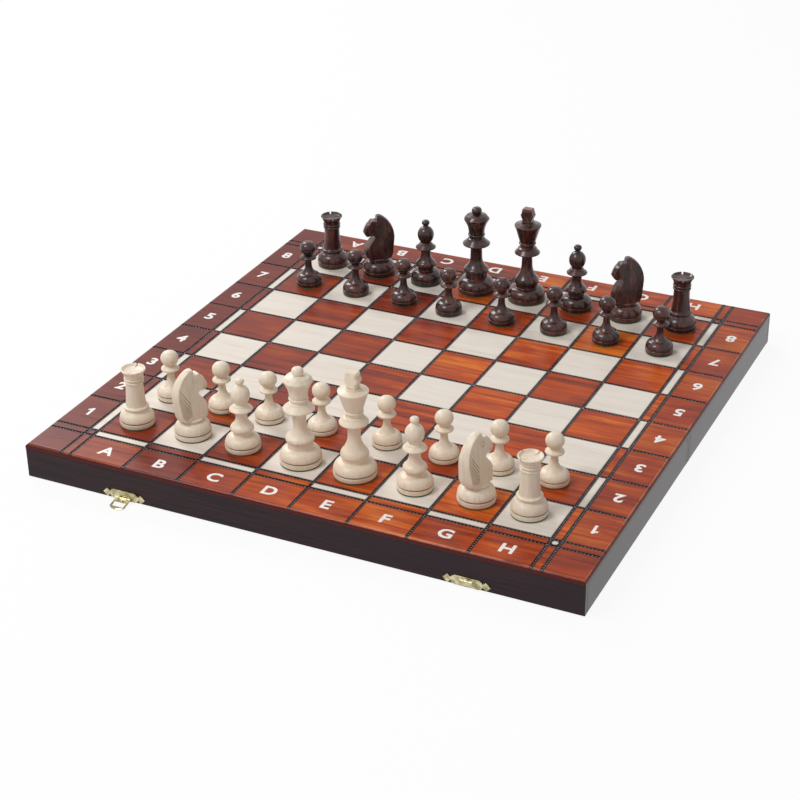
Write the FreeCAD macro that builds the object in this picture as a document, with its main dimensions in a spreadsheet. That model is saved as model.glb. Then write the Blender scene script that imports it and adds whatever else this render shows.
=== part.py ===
import FreeCAD, Part
import math
import os
import re

import Sketcher

# Folding chess case, lying open with the chess side up, and its chessmen.
# Frame: the middle of the board at the level of the table, +X along the files
# from A to H, +Y from the first rank to the eighth, +Z up.

# Driving sizes in millimetres, and turns in degrees
SIZES = {
    # Playing field: one square, the thin strip round the squares, the lettered border
    "square": 55,
    "strip_width": 9.5,
    "border_width": 38,
    # Chess panels, with the burnt grooves of the grid
    "panel_thickness": 5,
    "panel_round": 3.4,
    "groove_width": 2.8,
    "groove_depth": 0.6,
    # Walls under the panels, and the board inside that carries the backgammon points
    "wall_height": 28.5,
    "wall_thickness": 10,
    "corner_tongue": 5,
    "lining_thickness": 2,
    # Room between the two halves, open (at the fold) and closed (between the rims)
    "fold_gap": 0.4,
    "rim_gap": 0.3,
    # How far a cutting shape runs past what it cuts
    "overrun": 2,
    # Hinges let into the rims of the fold walls
    "hinge_place": 150,
    "hinge_length": 50,
    "leaf_width": 8,
    "leaf_thickness": 1,
    "knuckle_radius": 1.4,
    "knuckle_gap": 0.2,
    "hinge_pin_radius": 0.7,
    "running_gap": 0.08,
    "mortise_gap": 0.2,
    "leaf_screw_spacing": 17,
    # Latch plates on the outer walls
    "latch_place": 165,
    "plate_length": 43,
    "plate_height": 9.2,
    "plate_thickness": 1,
    "plate_rise": 0.2,
    # Hasp and its pin, and the catch that it closes over
    "hasp_width": 15,
    "hasp_length": 14.4,
    "hasp_thickness": 1,
    "hasp_barrel_length": 7,
    "hasp_knuckle_length": 3.6,
    "hasp_knuckle_radius": 1.3,
    "hasp_pin_radius": 0.6,
    "hasp_axis_height": 2.4,
    "hasp_axis_reach": 1.9,
    "hasp_droop": 12,
    "catch_width": 10.5,
    "catch_height": 4.6,
    "catch_depth": 2.4,
    "catch_rise": 2.9,
    "catch_gap": 0.6,
    # Countersunk brass nails
    "nail_radius": 0.7,
    "nail_head_radius": 1.4,
    "nail_head_height": 0.8,
    "nail_length": 7,
    "nail_fit": 0.05,
    # Chessmen: foot diameters, heights of the wood, felt discs
    "felt_thickness": 1,
    "felt_inset": 0.4,
    "king_foot": 39,
    "king_height": 84.7,
    "queen_foot": 38,
    "queen_height": 92.3,
    "bishop_foot": 32.5,
    "bishop_height": 68.9,
    "knight_foot": 34,
    "knight_height": 66.5,
    "rook_foot": 32.4,
    "rook_height": 55.5,
    "pawn_foot": 27.5,
    "pawn_height": 47.4,
    # Finial of the king, crenels of the rook, head of the knight
    "cross_width": 13.3,
    "cross_height": 16.4,
    "cross_depth": 9,
    "finial_sink": 0.4,
    "crenel_width": 1.6,
    "crenel_depth": 2.4,
    "knight_thickness": 18,
    # How the knights and rooks are turned from facing the eighth rank
    "light_knight_b_turn": -28,
    "light_knight_g_turn": -20,
    "dark_knight_b_turn": 130,
    "dark_knight_g_turn": 130,
    "light_rook_a_turn": 10,
    "light_rook_h_turn": -26,
    "dark_rook_a_turn": 35,
    "dark_rook_h_turn": 20,
}

# Places worked out from those sizes
HALF_FIELD = "(4 * square)"
HALF_WIDTH = "(4 * square + strip_width + border_width)"
FOLD_FACE = "(fold_gap / 2)"
HINGE_AXIS = "knuckle_radius"
RIM = "(knuckle_radius + rim_gap / 2)"
WALL_TOP = f"({RIM} + wall_height)"
SURFACE = f"({WALL_TOP} + panel_thickness)"
KNUCKLE_ROOM = "(knuckle_radius + mortise_gap)"
HASP_WINDOW_START = "(hasp_axis_height + rim_gap + catch_rise - catch_gap)"
HASP_WINDOW_LENGTH = "(catch_height + 2 * catch_gap)"

# Each half's name with the way it lies from the fold along Y
HALVES = (("front", -1), ("rear", 1))
KNUCKLES = 5
FILES = "abcdefgh"
BACK_RANK = ("rook", "knight", "bishop", "queen", "king", "bishop", "knight", "rook")

# Profiles of the turned chessmen, as shares of the foot diameter and of the height.
# The word says how the line reaches its point: straight, as a half-round bead, or on
# an arc that is upright where it starts or ends.
FOOT_SHARES = (
    (0.478, 0, "line"),
    (0.494, 0.06, "line"),
    (0.5, 0.325, "line"),
    (0.465, 0.35, "line"),
    (0.465, 0.38, "line"),
    (0.492, 0.41, "line"),
)
FOOT_HEIGHT_SHARES = {
    "king": 0.166,
    "queen": 0.158,
    "bishop": 0.197,
    "knight": 0.222,
    "rook": 0.25,
    "pawn": 0.253,
}
PROFILE_SHARES = {
    "king": (
        (0.303, 0.166, "upright_start"),
        (0.287, 0.17, "line"),
        (0.287, 0.215, "line"),
        (0.31, 0.219, "line"),
        (0.323, 0.234, "upright_end"),
        (0.272, 0.295, "upright_start"),
        (0.144, 0.46, "upright_end"),
        (0.136, 0.555, "line"),
        (0.185, 0.579, "line"),
        (0.333, 0.605, "line"),
        (0.333, 0.616, "line"),
        (0.246, 0.661, "line"),
        (0.246, 0.671, "line"),
        (0.195, 0.68, "line"),
        (0.195, 0.718, "line"),
        (0.195, 0.746, "bead"),
        (0.208, 0.754, "line"),
        (0.326, 0.935, "line"),
        (0.349, 0.953, "line"),
        (0.349, 0.967, "line"),
        (0.18, 0.983, "line"),
        (0.18, 1, "line"),
        (0, 1, "line"),
    ),
    "queen": (
        (0.311, 0.158, "upright_start"),
        (0.297, 0.161, "line"),
        (0.297, 0.235, "line"),
        (0.326, 0.238, "line"),
        (0.342, 0.251, "upright_end"),
        (0.3, 0.286, "upright_start"),
        (0.163, 0.406, "upright_end"),
        (0.158, 0.509, "line"),
        (0.2, 0.537, "line"),
        (0.371, 0.564, "line"),
        (0.371, 0.576, "line"),
        (0.237, 0.622, "line"),
        (0.237, 0.631, "line"),
        (0.197, 0.639, "line"),
        (0.197, 0.664, "line"),
        (0.197, 0.692, "bead"),
        (0.216, 0.698, "line"),
        (0.3, 0.829, "upright_start"),
        (0.347, 0.863, "line"),
        (0.347, 0.873, "line"),
        (0.284, 0.9, "line"),
        (0.271, 0.908, "line"),
        (0.118, 0.925, "line"),
        (0.139, 0.961, "upright_end"),
        (0.045, 1, "upright_start"),
        (0, 1, "line"),
    ),
    "bishop": (
        (0.295, 0.197, "upright_start"),
        (0.252, 0.202, "line"),
        (0.252, 0.266, "line"),
        (0.308, 0.271, "line"),
        (0.329, 0.286, "upright_end"),
        (0.262, 0.344, "upright_start"),
        (0.157, 0.464, "upright_end"),
        (0.154, 0.515, "line"),
        (0.185, 0.534, "line"),
        (0.323, 0.56, "line"),
        (0.323, 0.575, "line"),
        (0.215, 0.615, "line"),
        (0.215, 0.627, "line"),
        (0.172, 0.639, "line"),
        (0.172, 0.659, "line"),
        (0.263, 0.772, "upright_end"),
        (0.092, 0.9, "upright_start"),
        (0.071, 0.92, "line"),
        (0.126, 0.961, "upright_end"),
        (0.043, 1, "upright_start"),
        (0, 1, "line"),
    ),
    "knight": (
        (0.33, 0.222, "upright_start"),
        (0.294, 0.228, "line"),
        (0.294, 0.246, "line"),
        (0.294, 0.274, "bead"),
        (0.28, 0.28, "line"),
        (0, 0.28, "line"),
    ),
    "rook": (
        (0.34, 0.25, "upright_start"),
        (0.318, 0.276, "line"),
        (0.318, 0.288, "line"),
        (0.318, 0.333, "bead"),
        (0.293, 0.346, "line"),
        (0.247, 0.744, "upright_end"),
        (0.244, 0.753, "line"),
        (0.244, 0.793, "bead"),
        (0.241, 0.807, "line"),
        (0.241, 0.854, "bead"),
        (0.269, 0.861, "line"),
        (0.352, 0.984, "upright_start"),
        (0.34, 1, "line"),
        (0.312, 1, "line"),
        (0.259, 0.966, "line"),
        (0, 0.955, "line"),
    ),
    "pawn": (
        (0.298, 0.253, "upright_start"),
        (0.127, 0.454, "upright_end"),
        (0.116, 0.57, "line"),
        (0.167, 0.587, "line"),
        (0.309, 0.608, "line"),
        (0.309, 0.637, "line"),
        (0.189, 0.692, "line"),
        (0.149, 0.705, "line"),
        (0.302, 0.85, "upright_end"),
        (0.044, 1, "upright_start"),
        (0, 1, "line"),
    ),
}

# Right half of a latch plate's outline, as shares of its length and height
PLATE_SHARES = (
    (0.255, 0),
    (0.31, 0.16),
    (0.335, 0.36),
    (0.4, 0.04),
    (0.5, 0.5),
    (0.4, 0.96),
    (0.335, 0.64),
    (0.31, 0.84),
    (0.255, 1),
)
PLATE_NAIL_SHARE = 0.405

# Right half of the hasp's outline, as shares of its width and length from the pin
HASP_SHARES = (
    (0.5, 0),
    (0.5, 0.78),
    (0.36, 0.93),
    (0.12, 1),
)

# Right half of the king's finial, as shares of the cross's width and height
CROSS_SHARES = (
    (0.37, 0),
    (0.34, 0.3),
    (0.5, 0.42),
    (0.5, 0.66),
    (0.36, 0.77),
    (0.43, 0.9),
    (0.38, 1),
)

# Side view of the knight's head, as shares of the foot diameter and of the height
HEAD_SHARES = (
    (-0.56, 0.275, "line"),
    (0.24, 0.275, "line"),
    (0.35, 0.305, "line"),
    (0.4, 0.37, "line"),
    (0.37, 0.43, "line"),
    (0.27, 0.53, "line"),
    (0.16, 0.615, "line"),
    (0.15, 0.65, "line"),
    (0.21, 0.675, "line"),
    (0.34, 0.66, "line"),
    (0.42, 0.69, "line"),
    (0.47, 0.755, "line"),
    (0.44, 0.815, "line"),
    (0.3, 0.88, "line"),
    (0.19, 0.925, "line"),
    (0.11, 0.915, "line"),
    (0.06, 0.975, "line"),
    (0, 1, "line"),
    (-0.56, 1, "line"),
)
# The egg-shaped blank that the head is carved from, as shares of the same sizes
BLANK_SHARES = (
    (0, 0.27, "line"),
    (0.36, 0.27, "line"),
    (0.537, 0.64, "upright_end"),
    (0.2, 1, "upright_start"),
    (0, 1, "line"),
)
# Right half of the blank seen from the front, flattened on both sides, as shares of
# the thickness at the neck and of the height
CHEEK_SHARES = (
    (0.5, 0.27),
    (0.31, 1),
)

# Where a chessman stands off the middle of its square, as shares of the square
STAND_SHARES = {
    "light_rook_a": (-0.05, -0.02),
    "light_knight_b": (0, 0.02),
    "light_bishop_c": (-0.04, -0.02),
    "light_queen": (0.02, -0.02),
    "light_king": (-0.01, -0.025),
    "light_bishop_f": (0.03, -0.017),
    "light_knight_g": (0.045, 0.04),
    "light_rook_h": (-0.07, 0.02),
    "light_pawn_c": (-0.11, 0),
    "light_pawn_d": (-0.13, 0.015),
    "light_pawn_e": (0.035, 0.05),
    "light_pawn_f": (0.07, 0),
    "light_pawn_g": (0, 0.055),
    "light_pawn_h": (-0.07, 0.045),
    "dark_queen": (0.03, 0.03),
    "dark_king": (0.04, 0.065),
    "dark_bishop_f": (0.025, 0.07),
    "dark_knight_g": (-0.01, 0.07),
    "dark_rook_h": (0.035, 0.06),
    "dark_pawn_d": (-0.055, -0.055),
    "dark_pawn_e": (-0.01, -0.035),
}
ON_CENTRE = (0, 0)
# From the middle of the board to the middle of the first square, in squares
FIRST_SQUARE_SHARE = -3.5

ALONG_X = FreeCAD.Rotation(FreeCAD.Vector(0, 0, 1), FreeCAD.Vector(1, 0, 0))
UPRIGHT = FreeCAD.Rotation()

doc = FreeCAD.newDocument("chess_case")
sheet = doc.addObject("Spreadsheet::Sheet", "Sizes")
for row, (alias, number) in enumerate(SIZES.items(), start=1):
    sheet.set(f"A{row}", alias)
    sheet.set(f"B{row}", str(number))
    sheet.setAlias(f"B{row}", alias)
doc.recompute()

nodes = []


# Sizes and places
def cells(formula):
    """The formula with each size's name pointing at its cell in the sheet."""
    names = r"[a-z][a-z_]*"
    return re.sub(names, lambda word: f"Sizes.{word[0]}" if word[0] in SIZES else word[0], formula)


def bind(item, name, formula):
    item.setExpression(name, cells(formula))


def value(formula):
    return float(sheet.evalExpression(cells(formula)))


def place(item, point, rotation=UPRIGHT):
    item.Placement = FreeCAD.Placement(FreeCAD.Vector(), rotation)
    for axis, formula in zip("xyz", point):
        bind(item, f"Placement.Base.{axis}", formula)
    return item


def turned_by(angle):
    return FreeCAD.Rotation(FreeCAD.Vector(0, 0, 1), angle)


def half_span(side, near, far):
    """Where a stretch from near to far of the fold starts along Y, and its length."""
    start = near if side > 0 else f"-({far})"
    return start, f"({far}) - ({near})"


# Solids
def box(name, corner, size):
    item = doc.addObject("Part::Box", name)
    for side, formula in zip(("Length", "Width", "Height"), size):
        bind(item, side, formula)
    return place(item, corner)


def rod(name, start, radius, length, rotation=UPRIGHT):
    item = doc.addObject("Part::Cylinder", name)
    bind(item, "Radius", radius)
    bind(item, "Height", length)
    return place(item, start, rotation)


def fuse(name, items):
    item = doc.addObject("Part::MultiFuse", name)
    item.Shapes = items
    item.Refine = True
    return item


def cut(name, base, tools):
    item = doc.addObject("Part::Cut", name)
    item.Base = base
    item.Tool = tools[0] if len(tools) == 1 else fuse(f"{name}_tools", tools)
    return item


def common(name, base, tool):
    item = doc.addObject("Part::Common", name)
    item.Base = base
    item.Tool = tool
    return item


def copy(name, sources, point, rotation=UPRIGHT):
    """A placed copy of finished shapes, each still a solid of its own."""
    item = doc.addObject("Part::Compound", name)
    item.Links = sources
    return place(item, point, rotation)


def node(item, label):
    item.Label = label
    nodes.append(item)
    return item


# Sketches
def arc_centre(kind, first, last):
    rise = last.y - first.y
    if kind == "bead":
        return (first + last) / 2
    towards = 1 if kind == "upright_start" else -1
    across = (last.x**2 - first.x**2 + towards * rise**2) / (2 * (last.x - first.x))
    return FreeCAD.Vector(across, first.y if towards > 0 else last.y, 0)


def draw_edge(sketch, kind, first, last):
    """One edge of an outline: its number, and which of its ends come first and last."""
    if kind == "line":
        return sketch.addGeometry(Part.LineSegment(first, last)), 1, 2
    centre = arc_centre(kind, first, last)
    out, back = first - centre, last - centre
    anticlockwise = kind == "bead" or out.cross(back).z > 0
    if not anticlockwise:
        out, back = back, out
    start = math.atan2(out.y, out.x)
    end = math.atan2(back.y, back.x)
    if end < start:
        end += 2 * math.pi
    circle = Part.Circle(centre, FreeCAD.Vector(0, 0, 1), out.Length)
    number = sketch.addGeometry(Part.ArcOfCircle(circle, start, end))
    return (number, 1, 2) if anticlockwise else (number, 2, 1)


def hold_arc(sketch, kind, edge):
    """Ties an arc's centre to its ends."""
    number, first, last = edge
    ties = {
        "bead": ("Symmetric", number, first, number, last, number, 3),
        "upright_start": ("Horizontal", number, 3, number, first),
        "upright_end": ("Horizontal", number, 3, number, last),
    }
    sketch.addConstraint(Sketcher.Constraint(*ties[kind]))


def outline_sketch(body, plane, rows):
    """A closed outline on one of the body's own planes, each corner bound to its formulas."""
    sketch = body.newObject("Sketcher::SketchObject", f"{body.Name}_outline")
    planes = [item for item in body.Origin.OriginFeatures if item.Role == plane]
    sketch.AttachmentSupport = [(planes[0], "")]
    sketch.MapMode = "FlatFace"
    points = [FreeCAD.Vector(value(across), value(up), 0) for across, up, kind in rows]
    edges = []
    for number, (across, up, kind) in enumerate(rows):
        edges.append(draw_edge(sketch, kind, points[number - 1], points[number]))
    for number, (across, up, kind) in enumerate(rows):
        edge, first, last = edges[number]
        before, before_first, before_last = edges[number - 1]
        sketch.addConstraint(Sketcher.Constraint("Coincident", before, before_last, edge, first))
        if kind != "line":
            hold_arc(sketch, kind, edges[number])
        for formula, way, axis in ((across, "DistanceX", -2), (up, "DistanceY", -1)):
            if formula == "0":
                sketch.addConstraint(Sketcher.Constraint("PointOnObject", edge, last, axis))
                continue
            tie = Sketcher.Constraint(way, -1, 1, edge, last, value(formula))
            bind(sketch, f"Constraints[{sketch.addConstraint(tie)}]", formula)
    return sketch


def pad(name, plane, rows, length, symmetric=False):
    body = doc.addObject("PartDesign::Body", name)
    feature = body.newObject("PartDesign::Pad", f"{name}_pad")
    feature.Profile = outline_sketch(body, plane, rows)
    if symmetric:
        feature.SideType = "Symmetric"
    bind(feature, "Length", length)
    return body


def turn(name, rows):
    """A turned solid: the profile swung round the Z axis."""
    body = doc.addObject("PartDesign::Body", name)
    feature = body.newObject("PartDesign::Revolution", f"{name}_turn")
    sketch = outline_sketch(body, "XZ_Plane", rows)
    feature.Profile = sketch
    feature.ReferenceAxis = (sketch, ["V_Axis"])
    feature.Angle = 360
    return body


def both_sides(shares, across, up, lift="0"):
    """The corners of an outline that is the same left and right of the upright axis."""
    right = [(f"{x} * {across}", f"{lift} + {y} * {up}", "line") for x, y in shares]
    left = [(f"-{x} * {across}", f"{lift} + {y} * {up}", "line") for x, y in reversed(shares)]
    return [(x, "0" if formula == f"0 + 0 * {up}" else formula, kind) for x, formula, kind in right + left]


# Brass nail, head down at the origin and its shank up Z, and the hole it takes
def nail(name, fit):
    head = doc.addObject("Part::Cone", f"{name}_head")
    bind(head, "Radius1", f"nail_head_radius + {fit}")
    bind(head, "Radius2", f"nail_radius + {fit}")
    bind(head, "Height", "nail_head_height")
    shank = rod(f"{name}_shank", ("0", "0", "0"), f"nail_radius + {fit}", f"nail_length + {fit}")
    return fuse(name, [head, shank])


brass_nail = nail("brass_nail", "0")
nail_hole = nail("nail_hole", "nail_fit")


def nail_places(side):
    """The nails of one half: three to a hinge leaf, two to a latch plate."""
    across = f"{side} * ({KNUCKLE_ROOM} + leaf_width) / 2"
    leaf_places, plate_places = [], []
    for way in (-1, 1):
        for step in (-1, 0, 1):
            along = f"{way} * hinge_place + {step} * leaf_screw_spacing"
            leaf_places.append(((along, across, RIM), UPRIGHT))
    into_wall = FreeCAD.Rotation(FreeCAD.Vector(0, 0, 1), FreeCAD.Vector(0, -side, 0))
    for way in (-1, 1):
        for end in (-1, 1):
            along = f"{way} * latch_place + {end} * {PLATE_NAIL_SHARE} * plate_length"
            level = f"{RIM} + plate_rise + plate_height / 2"
            face = f"{side} * ({HALF_WIDTH} + plate_thickness)"
            plate_places.append(((along, face, level), into_wall))
    return leaf_places, plate_places


def nail_copies(name, source, places):
    return [
        copy(f"{name}_{number}", [source], point, rotation)
        for number, (point, rotation) in enumerate(places)
    ]


# Chess panel of one half: a board with three rounded edges and the grooves of the grid
def groove_lines():
    """Where the grid's lines lie from the middle of the board, on one side of it."""
    lines = [f"{number} * square" for number in range(5)]
    return lines + [f"({HALF_FIELD} + strip_width)"]


def chess_panel(half, side):
    start, depth = half_span(side, FOLD_FACE, HALF_WIDTH)
    width = f"2 * {HALF_WIDTH}"
    corners = [("0", "0", "line"), (width, "0", "line"), (width, depth, "line"), ("0", depth, "line")]
    board = pad(f"{half}_panel_board", "XY_Plane", corners, "panel_thickness")
    doc.recompute()
    fold_edge = value(depth) if side < 0 else 0
    plain = board.Tip
    rounded = []
    for number, edge in enumerate(plain.Shape.Edges, start=1):
        middle = edge.CenterOfMass
        on_top = abs(middle.z - value("panel_thickness")) < value("groove_depth") / 2
        if on_top and abs(middle.y - fold_edge) > value("groove_depth"):
            rounded.append(f"Edge{number}")
    rounding = board.newObject("PartDesign::Fillet", f"{half}_panel_rounding")
    rounding.Base = (plain, rounded)
    bind(rounding, "Radius", "panel_round")
    place(board, (f"-{HALF_WIDTH}", start, WALL_TOP))

    level = f"{SURFACE} - groove_depth"
    height = "groove_depth + overrun"
    long_start, long_depth = half_span(side, "-overrun", f"{HALF_WIDTH} + overrun")
    tools = []
    for number, line in enumerate(groove_lines()):
        for way in (-1, 1) if number else (1,):
            corner = (f"{way} * {line} - groove_width / 2", long_start, level)
            name = f"{half}_file_groove_{number}_{'left' if way < 0 else 'right'}"
            tools.append(box(name, corner, ("groove_width", long_depth, height)))
        corner = (f"-{HALF_WIDTH} - overrun", f"{side} * {line} - groove_width / 2", level)
        size = (f"{width} + 2 * overrun", "groove_width", height)
        tools.append(box(f"{half}_rank_groove_{number}", corner, size))
    node(cut(f"{half}_panel", board, tools), f"{half}_chess_panel")


# Walls of one half, rebated into each other at the corners
def rebates(name, side, near, far):
    start, depth = half_span(side, near, far)
    size = ("wall_thickness + overrun", depth, "wall_height + 2 * overrun")
    level = f"{RIM} - overrun"
    left = box(f"{name}_left_rebate", (f"-{HALF_WIDTH} - overrun", start, level), size)
    right = box(f"{name}_right_rebate", (f"{HALF_WIDTH} - wall_thickness", start, level), size)
    return [left, right]


def long_wall(name, side, near, far):
    start, depth = half_span(side, near, far)
    corner = (f"-{HALF_WIDTH}", start, RIM)
    return box(f"{name}_board", corner, (f"2 * {HALF_WIDTH}", depth, "wall_height"))


def outer_wall(half, side, holes):
    name = f"{half}_outer_wall"
    inner_face = f"({HALF_WIDTH} - wall_thickness)"
    board = long_wall(name, side, inner_face, HALF_WIDTH)
    tools = rebates(name, side, f"({inner_face} - overrun)", f"({HALF_WIDTH} - corner_tongue)")
    node(cut(f"{name}_cut", board, tools + holes), name)


def mortises(name, side):
    """Room in the fold wall's rim for the leaves and knuckles of both hinges."""
    tools = []
    level = f"{RIM} - overrun"
    length = "hinge_length + 2 * mortise_gap"
    for way, hand in ((-1, "left"), (1, "right")):
        along = f"{way} * hinge_place - hinge_length / 2 - mortise_gap"
        start, depth = half_span(side, "-overrun", "leaf_width + mortise_gap")
        size = (length, depth, "leaf_thickness + overrun")
        tools.append(box(f"{name}_{hand}_leaf_mortise", (along, start, level), size))
        start, depth = half_span(side, "-overrun", KNUCKLE_ROOM)
        height = f"{HINGE_AXIS} + {KNUCKLE_ROOM} - {RIM} + overrun"
        tools.append(box(f"{name}_{hand}_knuckle_mortise", (along, start, level), (length, depth, height)))
    return tools


def fold_wall(half, side, holes):
    name = f"{half}_fold_wall"
    inner_face = f"({FOLD_FACE} + wall_thickness)"
    board = long_wall(name, side, FOLD_FACE, inner_face)
    tools = rebates(name, side, f"({FOLD_FACE} + corner_tongue)", f"({inner_face} + overrun)")
    node(cut(f"{name}_cut", board, tools + mortises(name, side) + holes), name)


def side_walls(half, side):
    start, depth = half_span(side, f"({FOLD_FACE} + corner_tongue)", f"({HALF_WIDTH} - corner_tongue)")
    size = ("wall_thickness", depth, "wall_height")
    left = box(f"{half}_left_board", (f"-{HALF_WIDTH}", start, RIM), size)
    right = box(f"{half}_right_board", (f"{HALF_WIDTH} - wall_thickness", start, RIM), size)
    node(left, f"{half}_left_wall")
    node(right, f"{half}_right_wall")


# Board inside the half, glued under the chess panel, that carries the backgammon points
def backgammon_board(half, side):
    near = f"({FOLD_FACE} + wall_thickness)"
    start, depth = half_span(side, near, f"({HALF_WIDTH} - wall_thickness)")
    corner = (f"wall_thickness - {HALF_WIDTH}", start, f"{WALL_TOP} - lining_thickness")
    size = (f"2 * ({HALF_WIDTH} - wall_thickness)", depth, "lining_thickness")
    node(box(f"{half}_lining", corner, size), f"{half}_backgammon_board")


# Hinge leaf in the rim of one half, knuckles alternating with those of the other leaf
def hinge_leaf(half, side, holes):
    name = f"{half}_leaf"
    step = f"((hinge_length + knuckle_gap) / {KNUCKLES})"
    length = f"{step} - knuckle_gap"
    start, depth = half_span(side, KNUCKLE_ROOM, "leaf_width")
    corner = ("-hinge_length / 2", start, RIM)
    pieces = [box(f"{name}_plate", corner, ("hinge_length", depth, "leaf_thickness"))]
    for number in range(0 if side < 0 else 1, KNUCKLES, 2):
        along = f"{number} * {step} - hinge_length / 2"
        start, depth = half_span(side, "0", KNUCKLE_ROOM)
        tongue = box(f"{name}_tongue_{number}", (along, start, RIM), (length, depth, "leaf_thickness"))
        tube = rod(f"{name}_tube_{number}", (along, "0", HINGE_AXIS), "knuckle_radius", length, ALONG_X)
        pieces += [tongue, tube]
    bore_start = ("-hinge_length / 2 - overrun", "0", HINGE_AXIS)
    bore_radius = "hinge_pin_radius + running_gap"
    bore = rod(f"{name}_bore", bore_start, bore_radius, "hinge_length + 2 * overrun", ALONG_X)
    whole = fuse(f"{name}_whole", pieces)
    for way, hand in ((-1, "left"), (1, "right")):
        placed = copy(f"{hand}_{name}_placed", [whole], (f"{way} * hinge_place", "0", "0"))
        placed_bore = copy(f"{hand}_{name}_bore", [bore], (f"{way} * hinge_place", "0", "0"))
        own_holes = holes[:3] if way < 0 else holes[3:]
        leaf = cut(f"{hand}_{name}", placed, [placed_bore] + own_holes)
        node(leaf, f"{hand}_hinge_{half}_leaf")


def hinge_pins():
    start = ("-hinge_length / 2", "0", "0")
    pin = rod("hinge_pin", start, "hinge_pin_radius", "hinge_length", ALONG_X)
    pins = [
        copy(f"{hand}_hinge_pin", [pin], (f"{way} * hinge_place", "0", HINGE_AXIS))
        for way, hand in ((-1, "left"), (1, "right"))
    ]
    node(copy("both_hinge_pins", pins, ("0", "0", "0")), "hinge_pins")


# Latch pieces, drawn with the wall's outer face at Y zero and the rim at Z zero, outside towards -Y
def latch_plate(name):
    rows = both_sides(PLATE_SHARES, "plate_length", "plate_height", "plate_rise")
    return pad(name, "XZ_Plane", rows, "plate_thickness")


def plate_nail_holes(name):
    into_wall = FreeCAD.Rotation(FreeCAD.Vector(0, 0, 1), FreeCAD.Vector(0, 1, 0))
    level = "plate_rise + plate_height / 2"
    return [
        copy(
            f"{name}_nail_hole_{number}",
            [nail_hole],
            (f"{end} * {PLATE_NAIL_SHARE} * plate_length", "-plate_thickness", level),
            into_wall,
        )
        for number, end in enumerate((-1, 1))
    ]


def hasp_bore(name):
    length = "hasp_barrel_length + 2 * (hasp_knuckle_length + knuckle_gap + overrun)"
    start = (f"-({length}) / 2", "-hasp_axis_reach", "hasp_axis_height")
    return rod(f"{name}_bore", start, "hasp_pin_radius + running_gap", length, ALONG_X)


def hasp_plate():
    name = "hasp_plate"
    pieces = [latch_plate(f"{name}_body")]
    inner = "(hasp_barrel_length / 2 + knuckle_gap)"
    for hand, along in (("left", f"-{inner} - hasp_knuckle_length"), ("right", inner)):
        start = (along, "-hasp_axis_reach", "hasp_axis_height")
        knuckle = rod(f"{name}_{hand}_knuckle", start, "hasp_knuckle_radius", "hasp_knuckle_length", ALONG_X)
        pieces.append(knuckle)
    notch_height = "(hasp_axis_height + hasp_knuckle_radius + mortise_gap + overrun)"
    notch = box(
        f"{name}_notch",
        (f"-{inner}", "-plate_thickness - overrun", "-overrun"),
        (f"2 * {inner}", "plate_thickness + 2 * overrun", notch_height),
    )
    whole = fuse(f"{name}_whole", pieces)
    notched = cut(f"{name}_notched", whole, [notch])
    return cut(name, notched, [hasp_bore(name)] + plate_nail_holes(name))


def hasp():
    """The hasp lying level, its flat centred on the pin; its place turns it down to the table."""
    name = "hasp"
    shoulder = "(hasp_knuckle_radius + mortise_gap)"
    rows = both_sides(HASP_SHARES, "hasp_width", f"(hasp_length - {shoulder})", shoulder)
    flat = pad(f"{name}_flat", "XY_Plane", rows, "hasp_thickness", symmetric=True)
    tongue = box(
        f"{name}_tongue",
        ("-hasp_barrel_length / 2", "0", "-hasp_thickness / 2"),
        ("hasp_barrel_length", shoulder, "hasp_thickness"),
    )
    start = ("-hasp_barrel_length / 2", "0", "0")
    barrel = rod(f"{name}_barrel", start, "hasp_knuckle_radius", "hasp_barrel_length", ALONG_X)
    window_width = "(catch_width + 2 * catch_gap)"
    window = box(
        f"{name}_window",
        (f"-{window_width} / 2", HASP_WINDOW_START, "-overrun"),
        (window_width, HASP_WINDOW_LENGTH, "2 * overrun"),
    )
    bore_start = ("-hasp_barrel_length / 2 - overrun", "0", "0")
    bore_radius = "hasp_pin_radius + running_gap"
    bore = rod(f"{name}_bore", bore_start, bore_radius, "hasp_barrel_length + 2 * overrun", ALONG_X)
    return cut(name, fuse(f"{name}_whole", [flat, tongue, barrel]), [window, bore])


def hasp_pin():
    length = "hasp_barrel_length + 2 * (hasp_knuckle_length + knuckle_gap)"
    start = (f"-({length}) / 2", "-hasp_axis_reach", "hasp_axis_height")
    return rod("hasp_pin", start, "hasp_pin_radius", length, ALONG_X)


def catch_plate():
    name = "catch_plate"
    lip = box(
        f"{name}_lip",
        ("-catch_width / 2", "-plate_thickness - catch_depth", "catch_rise"),
        ("catch_width", "catch_depth", "catch_height"),
    )
    whole = fuse(f"{name}_whole", [latch_plate(f"{name}_body"), lip])
    return cut(name, whole, plate_nail_holes(name))


def latches():
    plate, flap, pin, catch = hasp_plate(), hasp(), hasp_pin(), catch_plate()
    droop = FreeCAD.Rotation(FreeCAD.Vector(1, 0, 0), -value("hasp_droop"))
    for half, side in HALVES:
        facing = turned_by(0 if side < 0 else 180)
        face = f"{side} * {HALF_WIDTH}"
        hasp_spot = (f"{side} * latch_place", face, RIM)
        catch_spot = (f"{-side} * latch_place", face, RIM)
        axis_spot = (
            f"{side} * latch_place",
            f"{side} * ({HALF_WIDTH} + hasp_axis_reach)",
            f"{RIM} + hasp_axis_height",
        )
        node(copy(f"{half}_plate_copy", [plate], hasp_spot, facing), f"{half}_hasp_plate")
        outwards = facing.multiply(turned_by(180)).multiply(droop)
        node(copy(f"{half}_hasp_copy", [flap], axis_spot, outwards), f"{half}_hasp")
        node(copy(f"{half}_pin_copy", [pin], hasp_spot, facing), f"{half}_hasp_pin")
        node(copy(f"{half}_catch_copy", [catch], catch_spot, facing), f"{half}_catch_plate")


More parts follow.
